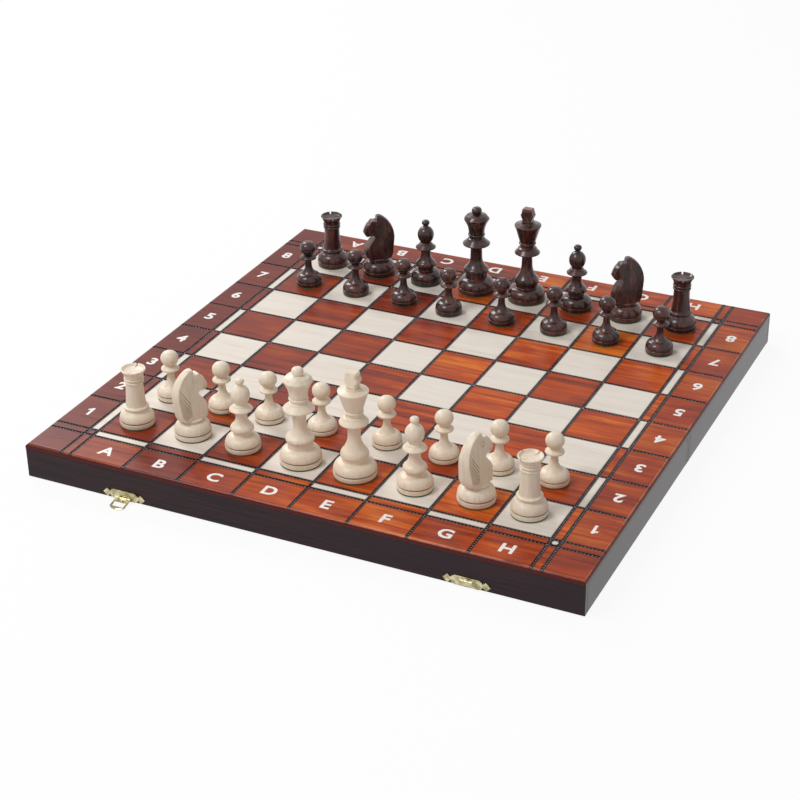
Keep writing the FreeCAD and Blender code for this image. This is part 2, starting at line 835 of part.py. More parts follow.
# Chessmen, each drawn once, standing on the origin
def man_rows(kind, shares):
    """The corners of an outline in the sizes of one kind of chessman."""
    foot, height = f"{kind}_foot", f"{kind}_height"
    rows = []
    for across, up, line in shares:
        rows.append((f"{across} * {foot}" if across else "0", f"{up} * {height}" if up else "0", line))
    return rows


def turned_man(kind):
    rise = FOOT_HEIGHT_SHARES[kind]
    foot = [(across, up * rise, line) for across, up, line in FOOT_SHARES]
    shares = [(0, 0, "line")] + foot + list(PROFILE_SHARES[kind])
    return turn(f"{kind}_turned", man_rows(kind, shares))


def king():
    rows = both_sides(CROSS_SHARES, "cross_width", "cross_height")
    cross = pad("king_cross", "XZ_Plane", rows, "cross_depth", symmetric=True)
    place(cross, ("0", "0", "king_height - finial_sink"))
    return fuse("king", [turned_man("king"), cross])


def rook():
    tools = []
    for number in range(2):
        slot = box(
            f"crenel_slot_{number}",
            ("-rook_foot / 2", "-crenel_width / 2", "rook_height - crenel_depth"),
            ("rook_foot", "crenel_width", "crenel_depth + overrun"),
        )
        tools.append(copy(f"crenel_{number}", [slot], ("0", "0", "0"), turned_by(90 * number)))
    return cut("rook", turned_man("rook"), tools)


def knight():
    blank = turn("knight_blank", man_rows("knight", BLANK_SHARES))
    rows = both_sides(CHEEK_SHARES, "knight_thickness", "knight_height")
    cheeks = pad("knight_cheeks", "XZ_Plane", rows, "2 * knight_foot", symmetric=True)
    flattened = common("knight_flattened_blank", blank, cheeks)
    rows = man_rows("knight", HEAD_SHARES)
    side_view = pad("knight_side_view", "YZ_Plane", rows, "2 * knight_thickness", symmetric=True)
    head = common("knight_head", flattened, side_view)
    return fuse("knight", [turned_man("knight"), head])


def chessmen():
    wood = {
        "king": king(),
        "queen": turned_man("queen"),
        "bishop": turned_man("bishop"),
        "knight": knight(),
        "rook": rook(),
        "pawn": turned_man("pawn"),
    }
    parts = {}
    for kind, body in wood.items():
        radius = f"{kind}_foot / 2 - felt_inset"
        felt = rod(f"{kind}_felt", ("0", "0", "0"), radius, "felt_thickness")
        raised = copy(f"{kind}_on_felt", [body], ("0", "0", "felt_thickness"))
        parts[kind] = [raised, felt]
    for colour, back_row, pawn_row in (("light", 0, 1), ("dark", 7, 6)):
        for column, letter in enumerate(FILES):
            for row, kind in ((back_row, BACK_RANK[column]), (pawn_row, "pawn")):
                single = kind in ("king", "queen")
                label = f"{colour}_{kind}" if single else f"{colour}_{kind}_{letter}"
                off_x, off_y = STAND_SHARES.get(label, ON_CENTRE)
                across = f"{column + FIRST_SQUARE_SHARE + off_x} * square"
                along = f"{row + FIRST_SQUARE_SHARE + off_y} * square"
                angle = value(f"{label}_turn") if f"{label}_turn" in SIZES else 0
                spot = (across, along, SURFACE)
                node(copy(f"{label}_copy", parts[kind], spot, turned_by(angle)), label)


def build():
    for half, side in HALVES:
        leaf_places, plate_places = nail_places(side)
        leaf_holes = nail_copies(f"{half}_leaf_hole", nail_hole, leaf_places)
        plate_holes = nail_copies(f"{half}_plate_hole", nail_hole, plate_places)
        nails = nail_copies(f"{half}_nail", brass_nail, leaf_places + plate_places)
        chess_panel(half, side)
        outer_wall(half, side, plate_holes)
        fold_wall(half, side, leaf_holes)
        side_walls(half, side)
        backgammon_board(half, side)
        hinge_leaf(half, side, leaf_holes)
        node(copy(f"{half}_nail_group", nails, ("0", "0", "0")), f"{half}_nails")
    hinge_pins()
    latches()
    chessmen()
    doc.recompute()


def check():
    for item in doc.Objects:
        if "Invalid" in item.State or "Error" in item.State:
            raise RuntimeError(f"{item.Label} failed: {item.State}")
    for item in nodes:
        if item.Shape.isNull() or not item.Shape.isValid() or not item.Shape.Solids:
            raise RuntimeError(f"{item.Label} has no valid solid")


build()
check()
os.makedirs("parts", exist_ok=True)
for item in nodes:
    item.Shape.exportStep(f"parts/{item.Label}.step")
print(len(nodes), "pieces written")
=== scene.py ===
# %% [markdown]
# # A folding chess case with its chessmen set out
# The case is a flat wooden box that opens into a chess board. Its solids come packed from CAD and are never
# moved here. This lesson gives them their finishes, and models again in mesh what a lathe or a knife made:
# the chessmen, the burnt beads of the grid, the painted letters. Everything is in metres in the CAD frame.

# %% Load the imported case
import math
from functools import partialmethod

import bmesh
import bpy
from mathutils import Matrix, Vector


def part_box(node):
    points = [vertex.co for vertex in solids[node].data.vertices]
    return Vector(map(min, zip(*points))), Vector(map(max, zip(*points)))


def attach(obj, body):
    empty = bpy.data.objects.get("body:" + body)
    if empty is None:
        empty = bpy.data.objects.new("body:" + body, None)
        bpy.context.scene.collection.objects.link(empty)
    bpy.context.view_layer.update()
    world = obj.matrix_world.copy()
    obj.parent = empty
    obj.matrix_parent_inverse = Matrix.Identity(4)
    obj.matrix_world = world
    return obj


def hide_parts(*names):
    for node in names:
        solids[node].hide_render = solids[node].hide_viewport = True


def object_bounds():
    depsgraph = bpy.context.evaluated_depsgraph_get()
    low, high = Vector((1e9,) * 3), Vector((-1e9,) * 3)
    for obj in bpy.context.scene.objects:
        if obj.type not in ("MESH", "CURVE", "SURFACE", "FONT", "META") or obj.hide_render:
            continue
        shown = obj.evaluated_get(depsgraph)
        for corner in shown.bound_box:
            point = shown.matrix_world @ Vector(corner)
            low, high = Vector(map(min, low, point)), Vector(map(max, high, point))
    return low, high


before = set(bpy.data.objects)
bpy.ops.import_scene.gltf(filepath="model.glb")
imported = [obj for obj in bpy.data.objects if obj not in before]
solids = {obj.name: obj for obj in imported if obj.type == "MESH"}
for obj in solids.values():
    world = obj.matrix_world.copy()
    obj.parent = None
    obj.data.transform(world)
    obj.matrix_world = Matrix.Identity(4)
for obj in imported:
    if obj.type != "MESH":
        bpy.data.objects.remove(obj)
scene = bpy.context.scene
cad_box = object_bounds()

# %% [markdown]
# ## Sizes that the finishes need
# The board is drawn from one square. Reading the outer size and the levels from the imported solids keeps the
# paint on the wood if the case changes, and the few sizes that the solids don't give are named here.

# %% Board sizes
MM = 0.001
TOUCHING = 0.001 * MM
SQUARE = 55 * MM
STRIP = 9.5 * MM
GROOVE = 2.8 * MM
GROOVE_DEPTH = 0.6 * MM
PANEL_ROUND = 3.4 * MM
FIELD = 4 * SQUARE
STRIP_EDGE = FIELD + STRIP
HALF_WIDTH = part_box("front_chess_panel")[1].x
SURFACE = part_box("front_chess_panel")[1].z
WALL = HALF_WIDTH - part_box("front_backgammon_board")[1].x
BORDER_MIDDLE = (STRIP_EDGE + HALF_WIDTH) / 2
HALVES = {"front": -1, "rear": 1}
print("half width", round(HALF_WIDTH, 4), "surface at", round(SURFACE, 5))

# %% [markdown]
# ## A short way to write nodes
# A finish is a tree of nodes, and so is a geometry tree. Writing each node in three or four lines hides the
# recipe, so this helper adds a node, sets it, wires its inputs and hands back its outputs in one line.

# %% Node recipe helper
def paint(red, green, blue):
    """A colour as the eye reads it on a screen, from 0 to 255, in the linear numbers that shaders use."""
    linear = []
    for part in (red, green, blue):
        share = part / 255
        linear.append(share / 12.92 if share <= 0.04045 else ((share + 0.055) / 1.055) ** 2.4)
    return (*linear, 1)

class Recipe:
    """Adds nodes to one tree and wires them up."""

    def __init__(self, tree, material=None):
        self.tree = tree
        self.material = material

    def add(self, kind, inputs=None, **settings):
        node = self.tree.nodes.new(kind)
        for name, setting in settings.items():
            setattr(node, name, setting)
        self.wire(node.inputs, inputs or {})
        return node

    def out(self, kind, inputs=None, **settings):
        return self.add(kind, inputs, **settings).outputs[0]

    def wire(self, sockets, inputs):
        for key, given in inputs.items():
            if isinstance(given, bpy.types.NodeSocket):
                self.tree.links.new(given, sockets[key])
            else:
                sockets[key].default_value = given

    def calc(self, operation, *values):
        return self.out("ShaderNodeMath", dict(enumerate(values)), operation=operation)

    times = partialmethod(calc, "MULTIPLY")
    plus = partialmethod(calc, "ADD")
    minus = partialmethod(calc, "SUBTRACT")
    size = partialmethod(calc, "ABSOLUTE")

    def tint(self, share, first, second):
        return self.add("ShaderNodeMix", {0: share, 6: first, 7: second}, data_type="RGBA").outputs[2]

    def spread(self, given, low, high, to_low=0, to_high=1):
        inputs = {"Value": given, 1: low, 2: high, 3: to_low, 4: to_high}
        return self.out("ShaderNodeMapRange", inputs, interpolation_type="SMOOTHSTEP")

    def ramp(self, given, *stops):
        node = self.add("ShaderNodeValToRGB", {"Fac": given})
        elements = node.color_ramp.elements
        while len(elements) < len(stops):
            elements.new(0.5)
        for element, (position, *colour) in zip(elements, stops):
            element.position = position
            element.color = paint(*colour)
        return node.outputs[0]

    def place(self):
        return self.add("ShaderNodeTexCoord").outputs["Object"]

    def split(self, place):
        return self.add("ShaderNodeSeparateXYZ", {0: place}).outputs

    def noise(self, place, scale, detail=4, roughness=0.55, distortion=0):
        stretched = self.out("ShaderNodeMapping", {"Vector": place, "Scale": scale})
        inputs = {"Vector": stretched, "Scale": 1, "Detail": detail, "Roughness": roughness}
        inputs["Distortion"] = distortion
        return self.add("ShaderNodeTexNoise", inputs).outputs["Fac"]

    def bump(self, height, strength, distance):
        inputs = {"Height": height, "Strength": strength, "Distance": distance}
        return self.out("ShaderNodeBump", inputs)

    def finish(self, inputs):
        self.wire(self.tree.nodes["Principled BSDF"].inputs, inputs)
        return self.material

def new_finish(name):
    material = bpy.data.materials.new(name)
    material.use_nodes = True
    return Recipe(material.node_tree, material)

def dress(piece, material):
    piece.data.materials.clear()
    piece.data.materials.append(material)

# %% [markdown]
# ## The chess panel's finish
# The panel is one sheet of pale veneer. The maker masks the light squares and the light dashes of the thin
# strip, stains the rest reddish brown and burns the grid in with a hot wheel. The whole pattern follows from
# the place on the board, so Object coordinates give it with a few sums and no picture: the checks carry on
# into the strip, and that alone makes its dashes change colour beside each square. Where two strips cross,
# the burnt lines run together and leave a round spot.

# %% Pattern of the grid
SPOT_RADIUS = 2.4 * MM
SPOT_BLUR = 0.5 * MM

def grid_distance(mix, along, squares):
    """How far a place is from the nearest line of the grid, in metres, along one axis."""
    to_square = mix.size(mix.minus(squares, mix.calc("ROUND", squares)))
    to_edge = mix.size(mix.minus(mix.size(along), STRIP_EDGE))
    return mix.calc("MINIMUM", mix.times(to_square, SQUARE), to_edge)

def crossing_burn(mix, far_x, far_y, inside):
    """One on the burnt wood where two strips cross, and nothing on the spot in its middle."""
    crossing = mix.calc("GREATER_THAN", mix.calc("MINIMUM", far_x, far_y), FIELD)
    off_middle = [mix.size(mix.minus(far, FIELD + STRIP / 2)) for far in (far_x, far_y)]
    from_spot = mix.calc("SQRT", mix.plus(*(mix.calc("POWER", off, 2) for off in off_middle)))
    around = mix.spread(from_spot, SPOT_RADIUS, SPOT_RADIUS + SPOT_BLUR)
    return mix.times(mix.times(crossing, inside), around)

# %% Stain and edge of the panel
def panel_stain(mix, x, cell, streaks, clouds, pores):
    """The reddish stain: its own tone on each square, deeper to the left and on the side borders."""
    cell_place = mix.out("ShaderNodeCombineXYZ", {0: cell[0], 1: cell[1]})
    own_tone = mix.out("ShaderNodeTexWhiteNoise", {0: cell_place}, noise_dimensions="2D")
    tone = mix.plus(mix.times(streaks, 0.62), mix.times(clouds, 0.3))
    tone = mix.plus(tone, mix.times(own_tone, 0.13))
    tone = mix.plus(tone, mix.spread(x, -HALF_WIDTH, HALF_WIDTH, -0.03, 0.015))
    stops = (0.36, 102, 33, 20), (0.46, 152, 56, 24), (0.56, 186, 76, 26), (0.67, 222, 118, 40)
    stain = mix.ramp(tone, *stops)
    stain = mix.tint(mix.spread(pores, 0.62, 0.75, 0, 0.3), stain, paint(80, 30, 24))
    for *span, colour in (
        (-HALF_WIDTH, 0.4 * HALF_WIDTH, 0.68, 0, paint(108, 43, 37)),
        (STRIP_EDGE, STRIP_EDGE + GROOVE, 0, 0.4, paint(128, 44, 32)),
        (-STRIP_EDGE, -STRIP_EDGE - GROOVE, 0, 0.45, paint(80, 31, 34)),
    ):
        stain = mix.tint(mix.spread(x, *span), stain, colour)
    return stain

def edge_stain_wear_and_highlight(mix, x, drop, clouds, wood):
    """Dark red low on the rounded edge, and a paler line along its top on the right: a painted highlight
    where the edge catches the light, partly rubbed wear.
    """
    wood = mix.tint(mix.spread(drop, 0.12, 0.55), wood, paint(78, 27, 24))
    # Painted highlight, partly rubbed wear: a paler line along the top of the rounded edge, on the right
    # only.
    wear_and_highlight = mix.spread(drop, 0.02, 0.06)
    wear_and_highlight = mix.times(wear_and_highlight, mix.spread(drop, 0.16, 0.1))
    wear_and_highlight = mix.times(wear_and_highlight, mix.spread(clouds, 0.35, 0.6, 0.2, 0.85))
    wear_and_highlight = mix.times(wear_and_highlight, mix.spread(x, -0.2 * HALF_WIDTH, 0.3 * HALF_WIDTH))
    return mix.tint(wear_and_highlight, wood, paint(214, 148, 112))

# %% Panel finish
def stained_panel():
    mix = new_finish("stained_panel")
    place = mix.place()
    x, y, z = mix.split(place)
    column = mix.calc("DIVIDE", x, SQUARE)
    row = mix.calc("DIVIDE", y, SQUARE)
    cell = (mix.calc("FLOOR", column), mix.calc("FLOOR", row))
    odd = mix.calc("FLOORED_MODULO", mix.plus(*cell), 2)
    far_x, far_y = mix.size(x), mix.size(y)
    inside = mix.calc("LESS_THAN", mix.calc("MAXIMUM", far_x, far_y), STRIP_EDGE)
    from_line = mix.calc("MINIMUM", grid_distance(mix, x, column), grid_distance(mix, y, row))
    burnt = mix.spread(from_line, 0.6 * GROOVE, 0.48 * GROOVE)
    burnt = mix.calc("MAXIMUM", burnt, crossing_burn(mix, far_x, far_y, inside))
    scorched = mix.spread(from_line, 1.1 * GROOVE, 0.5 * GROOVE)
    streaks = mix.noise(place, (9, 130, 60), detail=6, roughness=0.62, distortion=0.4)
    clouds = mix.noise(place, (16, 30, 20), detail=3, distortion=0.8)
    pores = mix.noise(place, (60, 900, 300), detail=2)
    stain = panel_stain(mix, x, cell, streaks, clouds, pores)
    veneer = mix.ramp(streaks, (0.35, 228, 216, 203), (0.6, 235, 226, 215))
    wood = mix.tint(mix.times(odd, inside), stain, veneer)
    wood = mix.tint(mix.times(scorched, 0.35), wood, paint(74, 40, 30))
    wood = mix.tint(burnt, wood, paint(22, 18, 22))
    drop = mix.calc("DIVIDE", mix.minus(SURFACE, z), PANEL_ROUND)
    satin = mix.spread(streaks, 0.3, 0.7, 0.26, 0.4)
    gloss = mix.spread(mix.spread(drop, 0.01, 0.06), 0, 1, satin, 0.16)
    return mix.finish({
        "Base Color": edge_stain_wear_and_highlight(mix, x, drop, clouds, wood),
        "Roughness": gloss,
        "Normal": mix.bump(streaks, 0.12, 0.2 * MM),
        "Specular IOR Level": 0.17,
    })

panel_finish = stained_panel()
for half in HALVES:
    dress(solids[f"{half}_chess_panel"], panel_finish)
print("panel finish nodes:", len(panel_finish.node_tree.nodes))

# %% [markdown]
# ## The burnt beads
# The hot wheel leaves a row of small rounded beads in each groove, which catch the light as dots. Their pale
# grey-blue colour is a painted highlight standing in for these dots. Thousands of alike beads along straight
# paths are work for Geometry Nodes: the lines of the grid are the only mesh, the tree sets beads along them
# at a named pitch, turns each to its line and varies its size a little.

# %% Bead tree
BEAD_SEED = 5

def bead_glint_finish():
    mix = new_finish("painted_bead_glint")
    glint_noise = mix.noise(mix.place(), (700, 700, 700), detail=2)
    # Painted highlight: the burnt beads get a pale grey-blue colour for the dots of light they catch.
    bead_glint_grey = mix.ramp(glint_noise, (0.35, 74, 70, 78), (0.7, 128, 124, 134))
    return mix.finish({"Base Color": bead_glint_grey, "Roughness": 0.26})

def bead_tree():
    tree = bpy.data.node_groups.new("burnt_bead_rows", "GeometryNodeTree")
    sockets = {}
    kinds = {"Lines": "Geometry", "Pitch": "Float", "Bead size": "Vector"}
    kinds |= {"Uneven": "Float", "Finish": "Material"}
    for name, kind in kinds.items():
        socket = tree.interface.new_socket(name, in_out="INPUT", socket_type=f"NodeSocket{kind}")
        sockets[name] = socket.identifier
    tree.interface.new_socket("Beads", in_out="OUTPUT", socket_type="NodeSocketGeometry")
    mix = Recipe(tree)
    given = mix.add("NodeGroupInput").outputs
    rows = mix.out("GeometryNodeMeshToCurve", {0: given["Lines"]})
    inputs = {"Curve": rows, "Length": given["Pitch"]}
    spaced = mix.out("GeometryNodeResampleCurve", inputs, mode="LENGTH")
    tangent = mix.out("GeometryNodeInputTangent")
    turn = mix.out("FunctionNodeAlignRotationToVector", {"Vector": tangent}, axis="X")
    uneven = given["Uneven"]
    inputs = {2: mix.minus(1, uneven), 3: mix.plus(1, uneven), "Seed": BEAD_SEED}
    vary = mix.add("FunctionNodeRandomValue", inputs, data_type="FLOAT").outputs[1]
    size = mix.out("ShaderNodeVectorMath", {0: given["Bead size"], "Scale": vary}, operation="SCALE")
    bead = mix.out("GeometryNodeMeshUVSphere", {"Segments": 8, "Rings": 4, "Radius": 1})
    inputs = {"Points": spaced, "Instance": bead, "Rotation": turn, "Scale": size}
    placed = mix.out("GeometryNodeInstanceOnPoints", inputs)
    real = mix.out("GeometryNodeRealizeInstances", {0: placed})
    smooth = mix.out("GeometryNodeSetShadeSmooth", {0: real})
    done = mix.out("GeometryNodeSetMaterial", {"Geometry": smooth, "Material": given["Finish"]})
    mix.add("NodeGroupOutput", {0: done})
    return tree, sockets

painted_bead_glint = bead_glint_finish()
beads, bead_inputs = bead_tree()
print("bead tree nodes:", len(beads.nodes))

# %% Helpers that turn a tree or a bmesh into a finished piece
def new_piece(name, mesh):
    piece = bpy.data.objects.new(name, mesh)
    scene.collection.objects.link(piece)
    return piece

def mesh_from(name, shape, sharp_angle=None):
    """A plain mesh from a bmesh, smooth all over but for edges sharper than the angle."""
    mesh = bpy.data.meshes.new(name)
    shape.to_mesh(mesh)
    shape.free()
    mesh.shade_smooth()
    if sharp_angle:
        mesh.set_sharp_from_angle(angle=math.radians(sharp_angle))
    return mesh

def thick_face(corners, along):
    """A closed flat shape: a face through the corners, made thick along a vector."""
    shape = bmesh.new()
    face = shape.faces.new([shape.verts.new(corner) for corner in corners])
    grown = bmesh.ops.extrude_face_region(shape, geom=[face])
    moved = [item for item in grown["geom"] if isinstance(item, bmesh.types.BMVert)]
    bmesh.ops.translate(shape, verts=moved, vec=along)
    bmesh.ops.recalc_face_normals(shape, faces=shape.faces)
    return shape

def middle_of(corners):
    """The middle of the box round some corners."""
    return Vector([(min(c[axis] for c in corners) + max(c[axis] for c in corners)) / 2 for axis in range(3)])

def evaluated_mesh(piece):
    """What the piece's modifiers or curves make of it, as a plain mesh."""
    graph = bpy.context.evaluated_depsgraph_get()
    return bpy.data.meshes.new_from_object(piece.evaluated_get(graph))

def grow(name, base_mesh, tree, values):
    """Runs a geometry tree on a base mesh and keeps only the plain mesh that it gives."""
    seed = new_piece(f"{name}_seed", base_mesh)
    modifier = seed.modifiers.new("grow", "NODES")
    modifier.node_group = tree
    for identifier, value in values.items():
        modifier[identifier] = value
    piece = new_piece(name, evaluated_mesh(seed))
    bpy.data.objects.remove(seed)
    return piece

def hand_over(piece, body, nodes=()):
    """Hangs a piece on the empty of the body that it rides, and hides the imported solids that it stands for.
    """
    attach(piece, body)
    if nodes:
        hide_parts(*nodes)

# %% Bead rows along the grid
BEAD_PITCH = 3.3 * MM
BEAD_SIZE = Vector((0.85, 0.95, 0.5)) * MM
BEAD_UNEVEN = 0.12
BEAD_LEVEL = SURFACE - GROOVE_DEPTH
ROW_END = HALF_WIDTH - 0.6 * PANEL_ROUND
FOLD_ROW = 0.75 * MM

def grid_rows(side):
    """Both ends of every bead row of one half."""
    offsets = [number * SQUARE for number in range(5)] + [STRIP_EDGE]
    rows = []
    for number, offset in enumerate(offsets):
        for way in (-1, 1) if number else (1,):
            rows.append(((way * offset, side * FOLD_ROW), (way * offset, side * ROW_END)))
        level = side * (offset or FOLD_ROW)
        rows.append(((-ROW_END, level), (ROW_END, level)))
    return rows

for half, side in HALVES.items():
    lines = bpy.data.meshes.new(f"{half}_grid_lines")
    ends = [(x, y, BEAD_LEVEL) for row in grid_rows(side) for x, y in row]
    lines.from_pydata(ends, [(first, first + 1) for first in range(0, len(ends), 2)], [])
    values = {"Pitch": BEAD_PITCH, "Bead size": BEAD_SIZE, "Uneven": BEAD_UNEVEN, "Finish": painted_bead_glint}
    values = {bead_inputs[name]: value for name, value in values.items()}
    rows = grow(f"{half}_burnt_beads", lines, beads, values)
    hand_over(rows, f"{half}_half")
    print(rows.name, len(rows.data.polygons), "faces")

# %% [markdown]
# ## The painted coordinates
# Plain white letters and digits are printed in the border, upright for the near player on the near and left
# sides and turned round on the far and right sides. Text made into mesh is the simplest way. It is a thin
# film on the lacquer, and a little offset makes the built-in letters as bold as the printed ones. The one
# alone is drawn from its own corners, because the built-in one lacks the printed one's flag.

# %% Painted coordinates
LETTER_SIZE = 18 * MM
LETTER_BOLD = 0.55 * MM
LETTER_WIDEN = 1.06
PAINT_FILM = 0.06 * MM
ONE_SHARES = (
    (0.01, -0.36), (0.16, -0.36), (0.16, 0.36), (0.04, 0.36), (-0.03, 0.27), (-0.15, 0.21),
    (-0.15, 0.08), (0.01, 0.15),
)

def white_paint():
    mix = new_finish("white_paint")
    worn = mix.noise(mix.place(), (260, 420, 200), detail=3)
    white = mix.ramp(worn, (0.3, 228, 222, 214), (0.5, 246, 243, 238))
    return mix.finish({"Base Color": white, "Roughness": 0.42})

def letter_mesh(letter):
    if letter == "1":
        corners = [(x * LETTER_SIZE, y * LETTER_SIZE, -PAINT_FILM / 2) for x, y in ONE_SHARES]
        return mesh_from("one", thick_face(corners, (0, 0, PAINT_FILM)))
    text = bpy.data.curves.new("letter", "FONT")
    text.body = letter
    text.size = LETTER_SIZE
    text.offset = LETTER_BOLD
    text.extrude = PAINT_FILM / 2
    text.resolution_u = 6
    holder = new_piece("letter_holder", text)
    mesh = evaluated_mesh(holder)
    bpy.data.objects.remove(holder)
    mesh.transform(Matrix.Translation(-middle_of([vertex.co for vertex in mesh.vertices])))
    mesh.transform(Matrix.Diagonal((LETTER_WIDEN, 1, 1, 1)))
    return mesh

def border_marks(side):
    """Each letter or digit of one half with its place on the board and its turn."""
    marks = []
    for number in range(8):
        along = (number - 3.5) * SQUARE
        marks.append(("ABCDEFGH"[number], along, side * BORDER_MIDDLE, 0 if side < 0 else math.pi))
        if along * side > 0:
            digit = str(number + 1)
            marks.append((digit, -BORDER_MIDDLE, along, 0))
            marks.append((digit, BORDER_MIDDLE, along, math.pi))
    return marks

letter_paint = white_paint()
for half, side in HALVES.items():
    whole = bmesh.new()
    for letter, x, y, turn in border_marks(side):
        mesh = letter_mesh(letter)
        spot = Matrix.Translation((x, y, SURFACE + PAINT_FILM / 2))
        mesh.transform(spot @ Matrix.Rotation(turn, 4, "Z"))
        whole.from_mesh(mesh)
        bpy.data.meshes.remove(mesh)
    bmesh.ops.remove_doubles(whole, verts=whole.verts, dist=PAINT_FILM / 50)
    marks = new_piece(f"{half}_coordinates", mesh_from(f"{half}_coordinates", whole, 30))
    dress(marks, letter_paint)
    hand_over(marks, f"{half}_half")
    print(marks.name, len(marks.data.polygons), "faces")

# %% [markdown]
# ## The walls
# The walls are solid wood, stained almost black and lacquered, so they mirror the pale table at a low angle.
# A knife-sharp edge never catches light, so each wall is copied from its solid, cleaned of its triangles and
# given a small bevel along its long edges.

# %% Wall finish and eased walls
WALL_EASE = 0.35 * MM
FLAT_ANGLE = math.radians(1)
CORNER_ANGLE = math.radians(40)

def lacquered_wall():
    mix = new_finish("lacquered_wall")
    place = mix.place()
    grain = mix.noise(place, (14, 14, 420), detail=5, roughness=0.6)
    clouds = mix.noise(place, (9, 9, 26), detail=2)
    dark = mix.ramp(grain, (0.38, 24, 9, 17), (0.66, 50, 20, 27))
    dark = mix.tint(mix.spread(clouds, 0.4, 0.7, 0, 0.5), dark, paint(35, 15, 23))
    return mix.finish({
        "Base Color": dark,
        "Normal": mix.bump(grain, 0.05, 0.2 * MM),
        "Roughness": 0.24,
        "Specular IOR Level": 0.26,
    })

def eased_copy(node, width, shortest):
    """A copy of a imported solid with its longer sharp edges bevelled."""
    shape = bmesh.new()
    shape.from_mesh(solids[node].data)
    bmesh.ops.remove_doubles(shape, verts=shape.verts, dist=TOUCHING)
    bmesh.ops.dissolve_limit(shape, angle_limit=FLAT_ANGLE, verts=shape.verts, edges=shape.edges)
    folds = [edge for edge in shape.edges if edge.is_manifold and edge.calc_face_angle() > CORNER_ANGLE]
    sharp = [edge for edge in folds if edge.calc_length() > shortest]
    bmesh.ops.bevel(shape, geom=sharp, offset=width, segments=2, affect="EDGES", clamp_overlap=True)
    return new_piece(f"{node}_eased", mesh_from(f"{node}_eased", shape, 20))

wall_finish = lacquered_wall()
walls = [(half, wall) for half in HALVES for wall in ("outer", "fold", "left", "right")]
for half, wall in walls:
    node = f"{half}_{wall}_wall"
    piece = eased_copy(node, WALL_EASE, WALL)
    dress(piece, wall_finish)
    hand_over(piece, f"{half}_half", [node])
print("walls eased:", len(walls))

# %% [markdown]
# ## The backgammon field inside
# The inner boards carry the other game: long points in two stains on a honey field, based on the left and
# right walls. A point is inside its triangle where its distance from the middle line is less than what is
# left of its length, so the field is again a few sums on Object coordinates.

# %% Backgammon finish
FIELD_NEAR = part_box("rear_backgammon_board")[0].y
FIELD_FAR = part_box("rear_backgammon_board")[1].y
POINTS_IN_ROW = 6
POINT_WIDTH = (FIELD_FAR - FIELD_NEAR) / POINTS_IN_ROW
POINT_LENGTH = 0.42 * 2 * (HALF_WIDTH - WALL)
POINT_FILL = 0.94
POINT_LINE = 0.035

def backgammon_field():
    mix = new_finish("backgammon_field")
    place = mix.place()
    x, y, _ = mix.split(place)
    across = mix.calc("DIVIDE", mix.minus(mix.size(y), FIELD_NEAR), POINT_WIDTH)
    from_middle = mix.size(mix.minus(mix.calc("FRACT", across), 0.5))
    run = mix.minus(HALF_WIDTH - WALL, mix.size(x))
    left_over = mix.minus(1, mix.calc("DIVIDE", run, POINT_LENGTH))
    room = mix.minus(mix.times(left_over, POINT_FILL), mix.times(from_middle, 2))
    inside = mix.calc("GREATER_THAN", room, 0)
    outline = mix.calc("LESS_THAN", mix.size(room), POINT_LINE)
    opposite = mix.calc("GREATER_THAN", mix.times(x, y), 0)
    parity = mix.calc("FLOORED_MODULO", mix.plus(mix.calc("FLOOR", across), opposite), 2)
    grain = mix.noise(place, (8, 150, 60), detail=5, roughness=0.6, distortion=0.3)
    honey = mix.ramp(grain, (0.35, 176, 128, 78), (0.65, 212, 170, 116))
    dark = mix.ramp(grain, (0.35, 92, 34, 24), (0.65, 136, 58, 34))
    pale = mix.ramp(grain, (0.35, 222, 204, 174), (0.65, 236, 224, 202))
    wood = mix.tint(inside, honey, mix.tint(parity, dark, pale))
    return mix.finish({
        "Base Color": mix.tint(outline, wood, paint(50, 34, 28)),
        "Normal": mix.bump(grain, 0.1, 0.2 * MM),
        "Roughness": 0.38,
    })

field_finish = backgammon_field()
for half in HALVES:
    dress(solids[f"{half}_backgammon_board"], field_finish)
print("backgammon points:", 4 * POINTS_IN_ROW, "each", round(POINT_LENGTH / MM), "mm long")

# %% [markdown]
# ## Brass fittings
# Latches, hinges and nails are thin pressed brass, pale and a little dull. The plates and hasps are copied
# from their solids with eased edges. The hinges, pins and nails are too small for that to show, so their
# solids only take the finish.

# %% Brass finish and fittings
PLATE_EASE = 0.16 * MM
PLATE_EDGE = 2 * MM

def pale_brass():
    mix = new_finish("pale_brass")
    place = mix.place()
    dull = mix.noise(place, (240, 240, 240), detail=4)
    fine = mix.noise(place, (1600, 1600, 1600), detail=2)
    metal = mix.ramp(dull, (0.35, 148, 136, 98), (0.62, 218, 210, 172))
    return mix.finish({
        "Base Color": metal,
        "Roughness": mix.spread(dull, 0.3, 0.7, 0.42, 0.24),
        "Normal": mix.bump(fine, 0.15, 0.05 * MM),
        "Metallic": 1,
    })

brass = pale_brass()
kept_solids = ["hinge_pins"]
for half in HALVES:
    for fitting in ("hasp_plate", "catch_plate", "hasp"):
        node = f"{half}_{fitting}"
        piece = eased_copy(node, PLATE_EASE, PLATE_EDGE)
        dress(piece, brass)
        hand_over(piece, f"{half}_hasp" if fitting == "hasp" else f"{half}_half", [node])
    kept_solids += [f"{half}_nails", f"{half}_hasp_pin"]
    kept_solids += [f"{hand}_hinge_{half}_leaf" for hand in ("left", "right")]
for node in kept_solids:
    dress(solids[node], brass)
print("brass solids dressed:", len(kept_solids))

# %% [markdown]
# ## Turned chessmen
# Most chessmen come off a lathe, so an outline swung round the upright axis gives them exactly. The outlines
# are shares of the foot's width and of the height, and a word says how a stretch bends, if it isn't
# straight. Every corner is rounded a little, as sandpaper leaves it, which a plain spin would not show.

